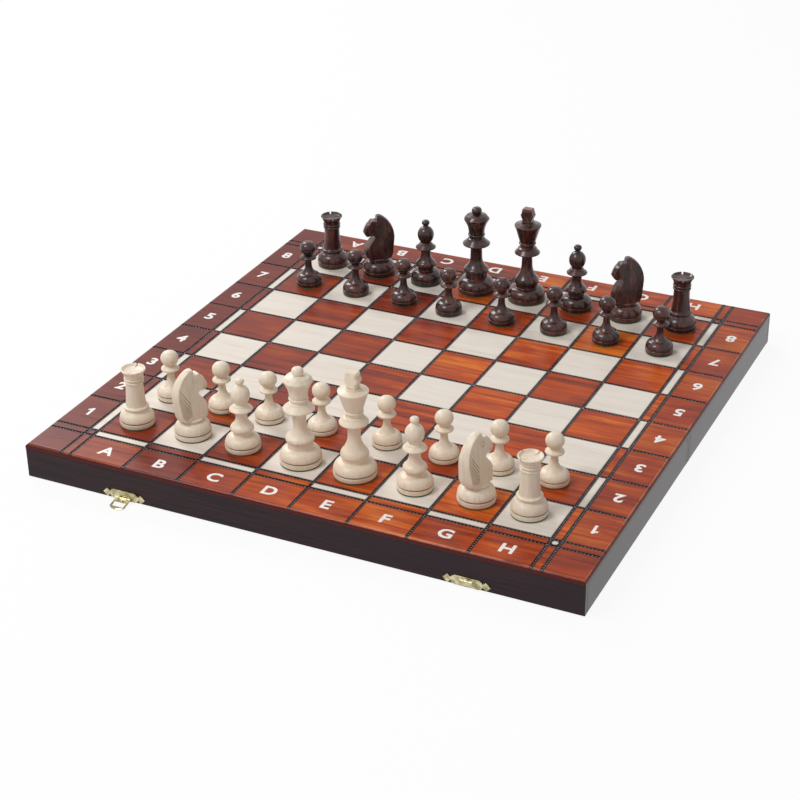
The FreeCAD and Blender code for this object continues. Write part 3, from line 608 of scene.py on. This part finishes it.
# %% Turned outlines
FELT = 1 * MM
EASE = 0.3 * MM
MAN_SIZES = {
    "king": (39 * MM, 84.7 * MM),
    "queen": (38 * MM, 92.3 * MM),
    "bishop": (32.5 * MM, 68.9 * MM),
    "knight": (34 * MM, 66.5 * MM),
    "rook": (32.4 * MM, 55.5 * MM),
    "pawn": (27.5 * MM, 47.4 * MM),
}
FOOT_SHARES = (
    (0.478, 0), (0.494, 0.06), (0.5, 0.325), (0.465, 0.35), (0.465, 0.38), (0.492, 0.41),
)
FOOT_HEIGHT_SHARES = {
    "king": 0.166, "queen": 0.158, "bishop": 0.197, "knight": 0.222, "rook": 0.25, "pawn": 0.253,
}
PROFILE_SHARES = {
    "king": (
        (0.303, 0.166, "upright_start"), (0.287, 0.17), (0.287, 0.215), (0.31, 0.219),
        (0.323, 0.234, "upright_end"), (0.272, 0.295, "upright_start"), (0.144, 0.46, "upright_end"),
        (0.136, 0.555), (0.185, 0.579), (0.333, 0.605), (0.333, 0.616), (0.246, 0.661), (0.246, 0.671),
        (0.195, 0.68), (0.195, 0.718), (0.195, 0.746, "bead"), (0.208, 0.754), (0.326, 0.935),
        (0.349, 0.953), (0.349, 0.967), (0.18, 0.983), (0.18, 1), (0, 1),
    ),
    "queen": (
        (0.311, 0.158, "upright_start"), (0.297, 0.161), (0.297, 0.235), (0.326, 0.238),
        (0.342, 0.251, "upright_end"), (0.3, 0.286, "upright_start"), (0.163, 0.406, "upright_end"),
        (0.158, 0.509), (0.2, 0.537), (0.371, 0.564), (0.371, 0.576), (0.237, 0.622), (0.237, 0.631),
        (0.197, 0.639), (0.197, 0.664), (0.197, 0.692, "bead"), (0.216, 0.698),
        (0.3, 0.829, "upright_start"), (0.347, 0.863), (0.347, 0.873), (0.284, 0.9), (0.271, 0.908),
        (0.118, 0.925), (0.139, 0.961, "upright_end"), (0.045, 1, "upright_start"), (0, 1),
    ),
    "bishop": (
        (0.295, 0.197, "upright_start"), (0.252, 0.202), (0.252, 0.266), (0.308, 0.271),
        (0.329, 0.286, "upright_end"), (0.262, 0.344, "upright_start"), (0.157, 0.464, "upright_end"),
        (0.154, 0.515), (0.185, 0.534), (0.323, 0.56), (0.323, 0.575), (0.215, 0.615), (0.215, 0.627),
        (0.172, 0.639), (0.172, 0.659), (0.263, 0.772, "upright_end"), (0.092, 0.9, "upright_start"),
        (0.071, 0.92), (0.126, 0.961, "upright_end"), (0.043, 1, "upright_start"), (0, 1),
    ),
    "knight": (
        (0.33, 0.222, "upright_start"), (0.294, 0.228), (0.294, 0.246), (0.294, 0.274, "bead"),
        (0.28, 0.28), (0, 0.28),
    ),
    "rook": (
        (0.34, 0.25, "upright_start"), (0.318, 0.276), (0.318, 0.288), (0.318, 0.333, "bead"),
        (0.293, 0.346), (0.247, 0.744, "upright_end"), (0.244, 0.753), (0.244, 0.793, "bead"),
        (0.241, 0.807), (0.241, 0.854, "bead"), (0.269, 0.861), (0.352, 0.984, "upright_start"),
        (0.34, 1), (0.312, 1), (0.259, 0.966), (0, 0.955),
    ),
    "pawn": (
        (0.298, 0.253, "upright_start"), (0.127, 0.454, "upright_end"), (0.116, 0.57), (0.167, 0.587),
        (0.309, 0.608), (0.309, 0.637), (0.189, 0.692), (0.149, 0.705), (0.302, 0.85, "upright_end"),
        (0.044, 1, "upright_start"), (0, 1),
    ),
}
ARC_STEPS = 12
ALMOST_STRAIGHT = math.radians(160)
EASE_SHARE = 0.45

def arc_points(kind, first, last):
    """Points after the first along an arc to the last, as the outline's word says."""
    rise = last.y - first.y
    if kind == "bead":
        centre = (first + last) / 2
    else:
        towards = 1 if kind == "upright_start" else -1
        across = (last.x**2 - first.x**2 + towards * rise**2) / (2 * (last.x - first.x))
        centre = Vector((across, first.y if towards > 0 else last.y))
    out, back = first - centre, last - centre
    start = math.atan2(out.y, out.x)
    sweep = (math.atan2(back.y, back.x) - start) % (2 * math.pi)
    if kind != "bead" and sweep > math.pi:
        sweep -= 2 * math.pi
    points = []
    for step in range(1, ARC_STEPS + 1):
        angle = start + sweep * step / ARC_STEPS
        points.append(centre + out.length * Vector((math.cos(angle), math.sin(angle))))
    return points

def sanded(points):
    """The same outline with its corners rounded."""
    done = [points[0]]
    for before, corner, after in zip(points, points[1:], points[2:]):
        towards, away = before - corner, after - corner
        if towards.angle(away) > ALMOST_STRAIGHT:
            done.append(corner)
            continue
        first = corner + towards.normalized() * min(EASE, EASE_SHARE * towards.length)
        last = corner + away.normalized() * min(EASE, EASE_SHARE * away.length)
        done += [first, (first + 2 * corner + last) / 4, last]
    return done + [points[-1]]

def bent_points(kind, shares):
    """The points of an outline in the sizes of one kind of chessman."""
    foot, height = MAN_SIZES[kind]
    points = []
    for across, up, *bend in shares:
        point = Vector((across * foot, up * height))
        points += arc_points(bend[0], points[-1], point) if bend else [point]
    return points

def turned_outline(kind):
    rise = FOOT_HEIGHT_SHARES[kind]
    foot = [(across, up * rise) for across, up in FOOT_SHARES]
    return sanded(bent_points(kind, [(0, 0), *foot, *PROFILE_SHARES[kind]]))

print("outlines:", {kind: len(turned_outline(kind)) for kind in MAN_SIZES})

# %% The lathe
SEGMENTS = 64

def lathe(outline, flute=None):
    """A closed turned shape from points of radius and height, fluted where a function says so."""
    shape = bmesh.new()
    rings = []
    for radius, height in outline:
        if radius < TOUCHING:
            rings.append([shape.verts.new((0, 0, height))])
            continue
        ring = []
        for step in range(SEGMENTS):
            angle = 2 * math.pi * step / SEGMENTS
            reach = radius * flute(angle, height) if flute else radius
            ring.append(shape.verts.new((reach * math.cos(angle), reach * math.sin(angle), height)))
        rings.append(ring)
    for lower, upper in zip(rings, rings[1:]):
        for step in range(SEGMENTS):
            after = step + 1
            corners = [lower[step % len(lower)], lower[after % len(lower)]]
            corners += [upper[after % len(upper)], upper[step % len(upper)]]
            shape.faces.new(list(dict.fromkeys(corners)))
    bmesh.ops.recalc_face_normals(shape, faces=shape.faces)
    return shape

def turned_mesh(kind, flute=None):
    return mesh_from(kind, lathe(turned_outline(kind), flute))

patterns = {kind: turned_mesh(kind) for kind in ("bishop", "pawn")}
print("turned:", {kind: len(mesh.polygons) for kind, mesh in patterns.items()}, "faces")

# %% [markdown]
# ## What the lathe can't do
# The queen's rim is cut into scallops, the rook's cup has four notches, the king carries a small cross and
# the knight is sawn and carved. Scallops are a wave in the lathe's radius. The rest is cut or added with
# Booleans, as a saw or a chisel would.

# %% Carving helpers
def slab(outline, thickness):
    """An upright flat shape: an outline of (y, z) points, as thick as told along X and centred there."""
    return thick_face([(-thickness / 2, y, z) for y, z in outline], (thickness, 0, 0))

def block(size, spot=(0, 0, 0), turn=Matrix.Identity(4)):
    shape = bmesh.new()
    bmesh.ops.create_cube(shape, size=1)
    shape.transform(Matrix.Translation(spot) @ turn @ Matrix.Diagonal((*size, 1)))
    return shape

def carve(base, *cuts):
    """Runs Booleans in turn on a mesh: each cut is an operation with the shape that it uses."""
    work = new_piece("carving", base)
    for operation, shape in cuts:
        tool = new_piece("carving_tool", mesh_from("carving_tool", shape))
        modifier = work.modifiers.new("carve", "BOOLEAN")
        modifier.operation = operation
        modifier.solver = "MANIFOLD"
        modifier.object = tool
        result = evaluated_mesh(work)
        work.modifiers.clear()
        work.data = result
        bpy.data.objects.remove(tool)
    bpy.data.objects.remove(work)
    return result

# %% King, queen and rook
QUEEN_SCALLOPS = 9
SCALLOP_DEPTH = 0.05
SCALLOP_LEVEL = 0.862
SCALLOP_FADE = 0.032
CRENEL_WIDTH = 1.6 * MM
CRENEL_DEPTH = 2.4 * MM
CROSS_SIZE = (13.3 * MM, 15.2 * MM, 9 * MM)
CROSS_SINK = 0.4 * MM
CROSS_EASE = 4 * EASE
CROSS_SHARES = ((0.37, 0), (0.34, 0.3), (0.5, 0.42), (0.5, 0.66), (0.36, 0.77), (0.43, 0.9), (0.38, 1))
QUARTER = math.pi / 2

def queen_flute(angle, height):
    """Scallops round the coronet's rim, fading out below it and on its top."""
    up = height / MAN_SIZES["queen"][1]
    fade = max(0, 1 - abs(up - SCALLOP_LEVEL) / SCALLOP_FADE)
    return 1 - SCALLOP_DEPTH * fade * (0.5 + 0.5 * math.cos(QUEEN_SCALLOPS * angle))

def king_mesh():
    width, height, depth = CROSS_SIZE
    right = [(x * width, z * height) for x, z in CROSS_SHARES]
    left = [(-x, z) for x, z in reversed(right)]
    cross = slab(right + left, depth)
    edges = cross.edges[:]
    bmesh.ops.bevel(cross, geom=edges, offset=CROSS_EASE, segments=4, affect="EDGES", clamp_overlap=True)
    lift = MAN_SIZES["king"][1] - CROSS_SINK
    cross.transform(Matrix.Translation((0, 0, lift)) @ Matrix.Rotation(QUARTER, 4, "Z"))
    return carve(turned_mesh("king"), ("UNION", cross))

def rook_mesh():
    foot, height = MAN_SIZES["rook"]
    size = (foot, CRENEL_WIDTH, 2 * CRENEL_DEPTH)
    turns = [Matrix.Rotation(number * QUARTER, 4, "Z") for number in range(2)]
    cuts = [("DIFFERENCE", block(size, (0, 0, height), turn)) for turn in turns]
    return carve(turned_mesh("rook"), *cuts)

patterns.update(king=king_mesh(), queen=turned_mesh("queen", queen_flute), rook=rook_mesh())
print("king:", len(patterns["king"].polygons), "faces")

# %% [markdown]
# ## The knight
# The knight starts as an egg-shaped blank from the lathe. Two saw cuts that lean in towards the top make its
# flat sides, a third follows the horse's outline, and chamfers narrow the chest and the muzzle. A fine
# remesh after the saw cuts rounds their edges. The knife's strokes in the mane, the eye and the mouth come
# last, so that they stay crisp.

# %% Knight's blank
BLANK_SHARES = (
    (0, 0.27), (0.41, 0.27), (0.475, 0.42, "upright_end"), (0.502, 0.61),
    (0.08, 0.985, "upright_start"), (0, 0.985),
)
CHEEK_SHARES = ((0.5, 0.27), (0.2, 1))
CHEEK_THICKNESS = 18 * MM
HEAD_SHARES = (
    (-0.56, 0.275), (0.3, 0.275), (0.4, 0.3), (0.445, 0.34), (0.445, 0.375), (0.41, 0.43), (0.29, 0.54),
    (0.18, 0.61), (0.15, 0.635), (0.165, 0.662), (0.215, 0.674), (0.29, 0.656), (0.36, 0.645),
    (0.415, 0.662), (0.462, 0.7), (0.482, 0.745), (0.468, 0.79), (0.42, 0.822), (0.31, 0.858),
    (0.285, 0.872), (0.255, 0.9), (0.2, 0.915), (0.15, 0.903), (0.11, 0.915), (0.075, 0.893),
    (0.063, 0.975), (0.045, 1.02), (-0.56, 1.02),
)
MUZZLE_SHARES = ((0.26, 0.62), (0.6, 0.58), (0.6, 0.9), (0.35, 0.9))
MUZZLE_HALF = 4.2 * MM
CHEST_TURN = math.radians(46)
CHEST_REACH = 13.6 * MM
CHEST_TOP_SHARE = 0.62
KNIGHT_GRID = 0.45 * MM
KNIGHT_SMOOTHING = 4

def side_half_width(height):
    """Half the knight's thickness at a height, between the two leaning saw cuts."""
    (low, bottom), (high, top) = CHEEK_SHARES
    share = (height / MAN_SIZES["knight"][1] - bottom) / (top - bottom)
    return CHEEK_THICKNESS * (low + share * (high - low))

def knight_blank():
    foot, height = MAN_SIZES["knight"]
    far = 2 * foot
    head = slab([(y * foot, z * height) for y, z in HEAD_SHARES], far)
    right = [(side_half_width(z), z) for z in (0, 1.2 * height)]
    cheeks = slab(right + [(-x, z) for x, z in reversed(right)], far)
    cheeks.transform(Matrix.Rotation(QUARTER, 4, "Z"))
    cuts = [("INTERSECT", head), ("INTERSECT", cheeks)]
    for way in (-1, 1):
        size = (far, far, CHEST_TOP_SHARE * height)
        chest = block(size, (0, CHEST_REACH + far / 2, size[2] / 2))
        chest.transform(Matrix.Rotation(-way * CHEST_TURN, 4, "Z"))
        muzzle = slab([(y * foot, z * height) for y, z in MUZZLE_SHARES], far)
        muzzle.transform(Matrix.Translation((way * (MUZZLE_HALF + far / 2), 0, 0)))
        cuts += [("DIFFERENCE", chest), ("DIFFERENCE", muzzle)]
    return carve(mesh_from("knight_blank", lathe(sanded(bent_points("knight", BLANK_SHARES)))), *cuts)

# %% Knight's carving
EYE_SHARES = (0.055, 0.832)
EYE_RADIUS = 2.4 * MM
EYE_RING = 0.7 * MM
NOSTRIL_SHARES = (0.425, 0.752)
NOSTRIL_RADIUS = 0.9 * MM
MOUTH_SHARES = (0.43, 0.694)
MOUTH_LENGTH_SHARE = 0.2
MOUTH_GAP = 0.8 * MM
MOUTH_TURN = 0.3
MANE_STROKES = 9
MANE_TOP_SHARE = 0.77
MANE_STEP = 2.9 * MM
MANE_LEAN = math.radians(57)
MANE_FRONT = -4.2 * MM
MANE_FLOOR_SHARE = 0.32
STROKE_WIDTH = 0.7 * MM
STROKE_DEPTH = 0.9 * MM
STROKE_DARK = (0.6, 1.1)

def back_edge(height):
    """Where the flat side ends at the back, on the round of the blank."""
    outline = bent_points("knight", BLANK_SHARES)
    for lower, upper in zip(outline[1:], outline[2:]):
        if lower.y <= height <= upper.y:
            radius = lower.x + (upper.x - lower.x) * (height - lower.y) / (upper.y - lower.y)
            return -math.sqrt(radius**2 - side_half_width(height) ** 2)
    return 0

def add_stroke(shape, first, last, way):
    """A knife's cut between two (y, z) places of a flat side: a long bar on edge, half sunk in the wood."""
    along = Vector((0, last[0] - first[0], last[1] - first[1])).normalized()
    across = Vector((0, -along.z, along.y)) * STROKE_WIDTH / 2
    inwards = Vector((STROKE_DEPTH, 0, 0))
    rings = []
    for y, z in (first, last):
        middle = Vector((way * side_half_width(z), y, z))
        rings.append([shape.verts.new(middle + step) for step in (across, inwards, -across, -inwards)])
    for number in range(4):
        after = (number + 1) % 4
        shape.faces.new((rings[0][number], rings[0][after], rings[1][after], rings[1][number]))
    shape.faces.new(rings[0])
    shape.faces.new(rings[1])

def mane_strokes(way):
    """The slanted strokes of one side, each from the back edge down towards the front."""
    height = MAN_SIZES["knight"][1]
    whole = bmesh.new()
    for number in range(MANE_STROKES):
        start = MANE_TOP_SHARE * height - number * MANE_STEP
        back = back_edge(start) - STROKE_WIDTH
        end = start - (MANE_FRONT - back) * math.tan(MANE_LEAN)
        end = max(end, MANE_FLOOR_SHARE * height)
        front = back + (start - end) / math.tan(MANE_LEAN)
        add_stroke(whole, (back, start), (front, end), way)
    bmesh.ops.recalc_face_normals(whole, faces=whole.faces)
    return whole

def eye_cutter():
    """A ring-shaped cutter, its outline closed on itself."""
    inner, outer = EYE_RADIUS - EYE_RING, EYE_RADIUS
    corners = [(inner, -EYE_RING), (outer, -EYE_RING), (outer, EYE_RING), (inner, EYE_RING)]
    ring = lathe([Vector(corner) for corner in [*corners, corners[0]]])
    bmesh.ops.remove_doubles(ring, verts=ring.verts, dist=TOUCHING)
    bmesh.ops.recalc_face_normals(ring, faces=ring.faces)
    return ring

def knight_mesh():
    foot, height = MAN_SIZES["knight"]
    blank = new_piece("knight_blank", knight_blank())
    remesh = blank.modifiers.new("fine", "REMESH")
    remesh.mode = "VOXEL"
    remesh.voxel_size = KNIGHT_GRID
    smooth = blank.modifiers.new("worn", "SMOOTH")
    smooth.iterations = KNIGHT_SMOOTHING
    worn = evaluated_mesh(blank)
    bpy.data.objects.remove(blank)
    cuts = [("UNION", lathe(turned_outline("knight")))]
    eye, nostril, mouth = ((y * foot, z * height) for y, z in (EYE_SHARES, NOSTRIL_SHARES, MOUTH_SHARES))
    for way in (-1, 1):
        ring = eye_cutter()
        spot = Matrix.Translation((way * side_half_width(eye[1]), *eye))
        ring.transform(spot @ Matrix.Rotation(QUARTER, 4, "Y"))
        ball = bmesh.new()
        bmesh.ops.create_icosphere(ball, subdivisions=2, radius=NOSTRIL_RADIUS)
        ball.transform(Matrix.Translation((way * MUZZLE_HALF, *nostril)))
        cuts += [("DIFFERENCE", shape) for shape in (mane_strokes(way), ring, ball)]
    size = (foot, MOUTH_LENGTH_SHARE * foot, MOUTH_GAP)
    cuts.append(("DIFFERENCE", block(size, (0, *mouth), Matrix.Rotation(MOUTH_TURN, 4, "X"))))
    return carve(worn, *cuts)

patterns["knight"] = knight_mesh()
print("knight:", len(patterns["knight"].polygons), "faces")

# %% [markdown]
# ## Wood of the chessmen, and felt
# The light men are plain pale wood under satin lacquer. The dark ones are stained and glossy, with reddish
# streaks where the stain took less. Both grains run up the man, as the wood was held in the lathe. Grooves
# are painted darker the deeper they go, partly a dark stain and partly painted shade, and the rims of the
# dark men are painted paler, partly rubbed by hands and partly a painted highlight. Both follow the shape, so
# every point of a mesh gets two marks, which the finishes read as attributes. Each man stands on a thin disc
# of green felt.

# %% Dark grooves and rubbed rims, with painted shade and painted highlight
RIM_START = 0.085
RIM_GAIN = 10
CREASE = 50

def mark_groove_stain_and_shade(kind, mesh):
    """Writes on every point how deep it lies in the foot's groove or in a knife stroke, from 0 to 1, for a
    dark stain and painted shade.
    """
    foot, height = MAN_SIZES[kind]
    rise = FOOT_HEIGHT_SHARES[kind] * height
    rim, floor = FOOT_SHARES[2][0] * foot, FOOT_SHARES[3][0] * foot
    low, high = FOOT_SHARES[2][1] * rise, FOOT_SHARES[5][1] * rise
    mane_low, mane_high = MANE_FLOOR_SHARE * height, MANE_TOP_SHARE * height
    mark = mesh.attributes.new("groove", "FLOAT", "POINT")
    for number, vertex in enumerate(mesh.vertices):
        x, y, z = vertex.co
        if low < z < high:
            mark.data[number].value = min(max((rim - math.hypot(x, y)) / (rim - floor), 0), 1)
        elif kind == "knight" and mane_low < z < mane_high and y < MANE_FRONT + STROKE_WIDTH:
            depth = (side_half_width(z) - abs(x)) / STROKE_DEPTH
            if y > back_edge(z) + STROKE_WIDTH and STROKE_DARK[0] < depth < STROKE_DARK[1]:
                mark.data[number].value = min(depth, 1)

def mark_rim_wear_and_highlight(mesh):
    """Writes on every point how far it stands out from its neighbours, from 0 to 1, for wear and a painted
    highlight.
    """
    bulge = [0] * len(mesh.vertices)
    joined = [0] * len(mesh.vertices)
    for edge in mesh.edges:
        for here, there in (edge.vertices, reversed(edge.vertices)):
            vertex = mesh.vertices[here]
            along = (mesh.vertices[there].co - vertex.co).normalized()
            bulge[here] -= along.dot(vertex.normal)
            joined[here] += 1
    mark = mesh.attributes.new("rim", "FLOAT", "POINT")
    for number, total in enumerate(bulge):
        mark.data[number].value = min(max((total / joined[number] - RIM_START) * RIM_GAIN, 0), 1)

for kind, mesh in patterns.items():
    mesh.shade_smooth()
    mesh.set_sharp_from_angle(angle=math.radians(CREASE))
    mark_groove_stain_and_shade(kind, mesh)
    mark_rim_wear_and_highlight(mesh)
print("patterns marked:", len(patterns))

# %% Finishes of the chessmen
def mark_share(mix, name):
    return mix.add("ShaderNodeAttribute", attribute_name=name).outputs["Fac"]

def light_wood():
    mix = new_finish("light_wood")
    place = mix.place()
    grain = mix.noise(place, (420, 420, 34), detail=5, roughness=0.6, distortion=0.5)
    warm = mix.noise(place, (14, 14, 8), detail=2)
    pale = mix.ramp(grain, (0.34, 226, 209, 186), (0.64, 239, 226, 206))
    pale = mix.tint(mix.spread(warm, 0.4, 0.65, 0, 0.4), pale, paint(232, 210, 184))
    return mix.finish({
        # Painted shade, partly a dark stain: darker the deeper a point lies in a groove or knife stroke.
        "Base Color": mix.tint(mark_share(mix, "groove"), pale, paint(112, 78, 52)),
        "Roughness": mix.spread(grain, 0.3, 0.7, 0.34, 0.46),
        "Normal": mix.bump(grain, 0.03, 0.1 * MM),
    })

def dark_wood():
    mix = new_finish("dark_wood")
    place = mix.place()
    grain = mix.noise(place, (270, 270, 60), detail=6, roughness=0.65, distortion=0.6)
    clouds = mix.noise(place, (60, 60, 34), detail=3, distortion=0.5)
    tone = mix.plus(mix.times(grain, 0.6), mix.times(clouds, 0.4))
    stain = mix.ramp(tone, (0.38, 24, 10, 12), (0.5, 56, 25, 23), (0.62, 104, 57, 45))
    # Painted highlight, partly rubbed wear: the rims that stand out are painted paler.
    wear_and_highlight = mix.times(mark_share(mix, "rim"), mix.spread(clouds, 0.4, 0.6, 0.25, 0.85))
    stain = mix.tint(wear_and_highlight, stain, paint(142, 96, 80))
    return mix.finish({
        # Painted shade, partly a dark stain: darker the deeper a point lies in a groove or knife stroke.
        "Base Color": mix.tint(mark_share(mix, "groove"), stain, paint(20, 11, 11)),
        "Normal": mix.bump(grain, 0.08, 0.1 * MM),
        "Roughness": 0.3,
        "Specular IOR Level": 0.3,
        "Coat Weight": 0.4,
        "Coat Roughness": 0.08,
    })

def green_felt():
    mix = new_finish("green_felt")
    fibres = mix.noise(mix.place(), (2400, 2400, 2400), detail=3)
    green = mix.ramp(fibres, (0.35, 24, 58, 38), (0.65, 60, 110, 76))
    return mix.finish({
        "Base Color": green,
        "Normal": mix.bump(fibres, 0.6, 0.2 * MM),
        "Roughness": 0.95,
        "Sheen Weight": 0.4,
    })

woods = {"light": light_wood(), "dark": dark_wood()}
felt_finish = green_felt()
print("woods:", list(woods))

# %% Set the chessmen on their squares
TURNS = {
    "light_knight_b": -28, "light_knight_g": -20, "dark_knight_b": 130, "dark_knight_g": 130,
    "light_rook_a": 10, "light_rook_h": -26, "dark_rook_a": 35, "dark_rook_h": 20,
}
FELT_INSET = 0.4 * MM
SOLE = 0.1 * MM

def stand_of(node):
    """The middle of a chessman's felt, where it meets the board."""
    corners = [vertex.co for vertex in solids[node].data.vertices]
    floor = min(corner.z for corner in corners)
    middle = middle_of([corner for corner in corners if corner.z < floor + SOLE])
    return Vector((middle.x, middle.y, floor))

def felt_mesh(kind):
    radius = MAN_SIZES[kind][0] / 2 - FELT_INSET
    inner = radius - EASE
    points = [(0, 0), (inner, 0), (radius, EASE), (radius, FELT - EASE), (inner, FELT), (0, FELT)]
    return mesh_from("felt", lathe([Vector(point) for point in points]), CREASE)

for node in sorted(solids):
    colour, _, rest = node.partition("_")
    kind = rest.partition("_")[0]
    if colour not in woods or kind not in patterns:
        continue
    stand = Matrix.Translation(stand_of(node))
    turn = Matrix.Rotation(math.radians(TURNS.get(node, 0)), 4, "Z")
    wood = new_piece(f"{node}_wood", patterns[kind].copy())
    wood.data.transform(stand @ Matrix.Translation((0, 0, FELT)) @ turn)
    dress(wood, woods[colour])
    hand_over(wood, node, [node])
    felt = new_piece(f"{node}_felt", felt_mesh(kind))
    felt.data.transform(stand)
    dress(felt, felt_finish)
    hand_over(felt, node)

# %% [markdown]
# ## Table, light and camera
# The set stands on a white table in even light. The table glows white only for the camera and for
# reflections, so the lacquered walls mirror it while it still takes a soft shadow and throws no extra light
# on the wood. Two soft lamps, from the front left and from the back left, give the highlights.

# %% Table and world
TABLE_GLOW = 0.92
LIGHT_LEVEL = 0.36
TABLE_HALF = 6
TABLE_DROP = 0.1 * MM
WHITE = (1, 1, 1, 1)

def seen_directly(mix):
    """One for rays that show the background to the eye, straight or in a reflection."""
    path = mix.add("ShaderNodeLightPath").outputs
    shown = mix.calc("MAXIMUM", path["Is Camera Ray"], path["Is Glossy Ray"])
    return mix.calc("MAXIMUM", shown, path["Is Transmission Ray"])

def white_table():
    mix = new_finish("white_table")
    mix.tree.nodes.clear()
    matt = mix.out("ShaderNodeBsdfDiffuse", {"Color": paint(246, 246, 246)})
    glow = mix.out("ShaderNodeEmission", {"Color": WHITE, "Strength": 1})
    share = mix.times(seen_directly(mix), TABLE_GLOW)
    mixed = mix.out("ShaderNodeMixShader", {0: share, 1: matt, 2: glow})
    mix.add("ShaderNodeOutputMaterial", {"Surface": mixed})
    return mix.material

table_shape = bmesh.new()
bmesh.ops.create_grid(table_shape, x_segments=1, y_segments=1, size=TABLE_HALF)
table_shape.transform(Matrix.Translation((0, 0, cad_box[0].z - TABLE_DROP)))
table = new_piece("table", mesh_from("table", table_shape))
dress(table, white_table())

world = bpy.data.worlds.new("studio")
scene.world = world
world.use_nodes = True
world.node_tree.nodes.clear()
sky = Recipe(world.node_tree)
strength = sky.spread(seen_directly(sky), 0, 1, LIGHT_LEVEL, 1)
ambient = sky.out("ShaderNodeBackground", {"Color": WHITE, "Strength": strength})
sky.add("ShaderNodeOutputWorld", {"Surface": ambient})
print("table", 2 * TABLE_HALF, "m wide, even light at", LIGHT_LEVEL)

# %% Lamps and camera
LAMPS = (
    ("front_lamp", (-0.9, -1.3, 2.0), 1.1, 29),
    ("back_lamp", (-1.7, 1.0, 1.6), 1.0, 25),
)
CAMERA_SPOT = (0.67328, -1.44718, 0.87215)
CAMERA_AZIMUTH = math.radians(25.6655)
CAMERA_ELEVATION = math.radians(28.4641)
CAMERA_ROLL = math.radians(-0.7203)
CAMERA_LENS = 84.83

for name, spot, size, power in LAMPS:
    lamp = bpy.data.lights.new(name, "AREA")
    lamp.shape = "DISK"
    lamp.size = size
    lamp.energy = power
    holder = new_piece(name, lamp)
    holder.location = spot
    holder.rotation_euler = (-Vector(spot)).to_track_quat("-Z", "Y").to_euler()

lens = bpy.data.cameras.new("camera")
lens.lens = CAMERA_LENS
lens.sensor_width = 36
camera = new_piece("camera", lens)
camera.matrix_world = (
    Matrix.Translation(CAMERA_SPOT)
    @ Matrix.Rotation(CAMERA_AZIMUTH, 4, "Z")
    @ Matrix.Rotation(QUARTER - CAMERA_ELEVATION, 4, "X")
    @ Matrix.Rotation(CAMERA_ROLL, 4, "Z")
)
scene.camera = camera
scene.view_settings.view_transform = "Standard"
print("lamps:", len(LAMPS), "lens", CAMERA_LENS, "mm")
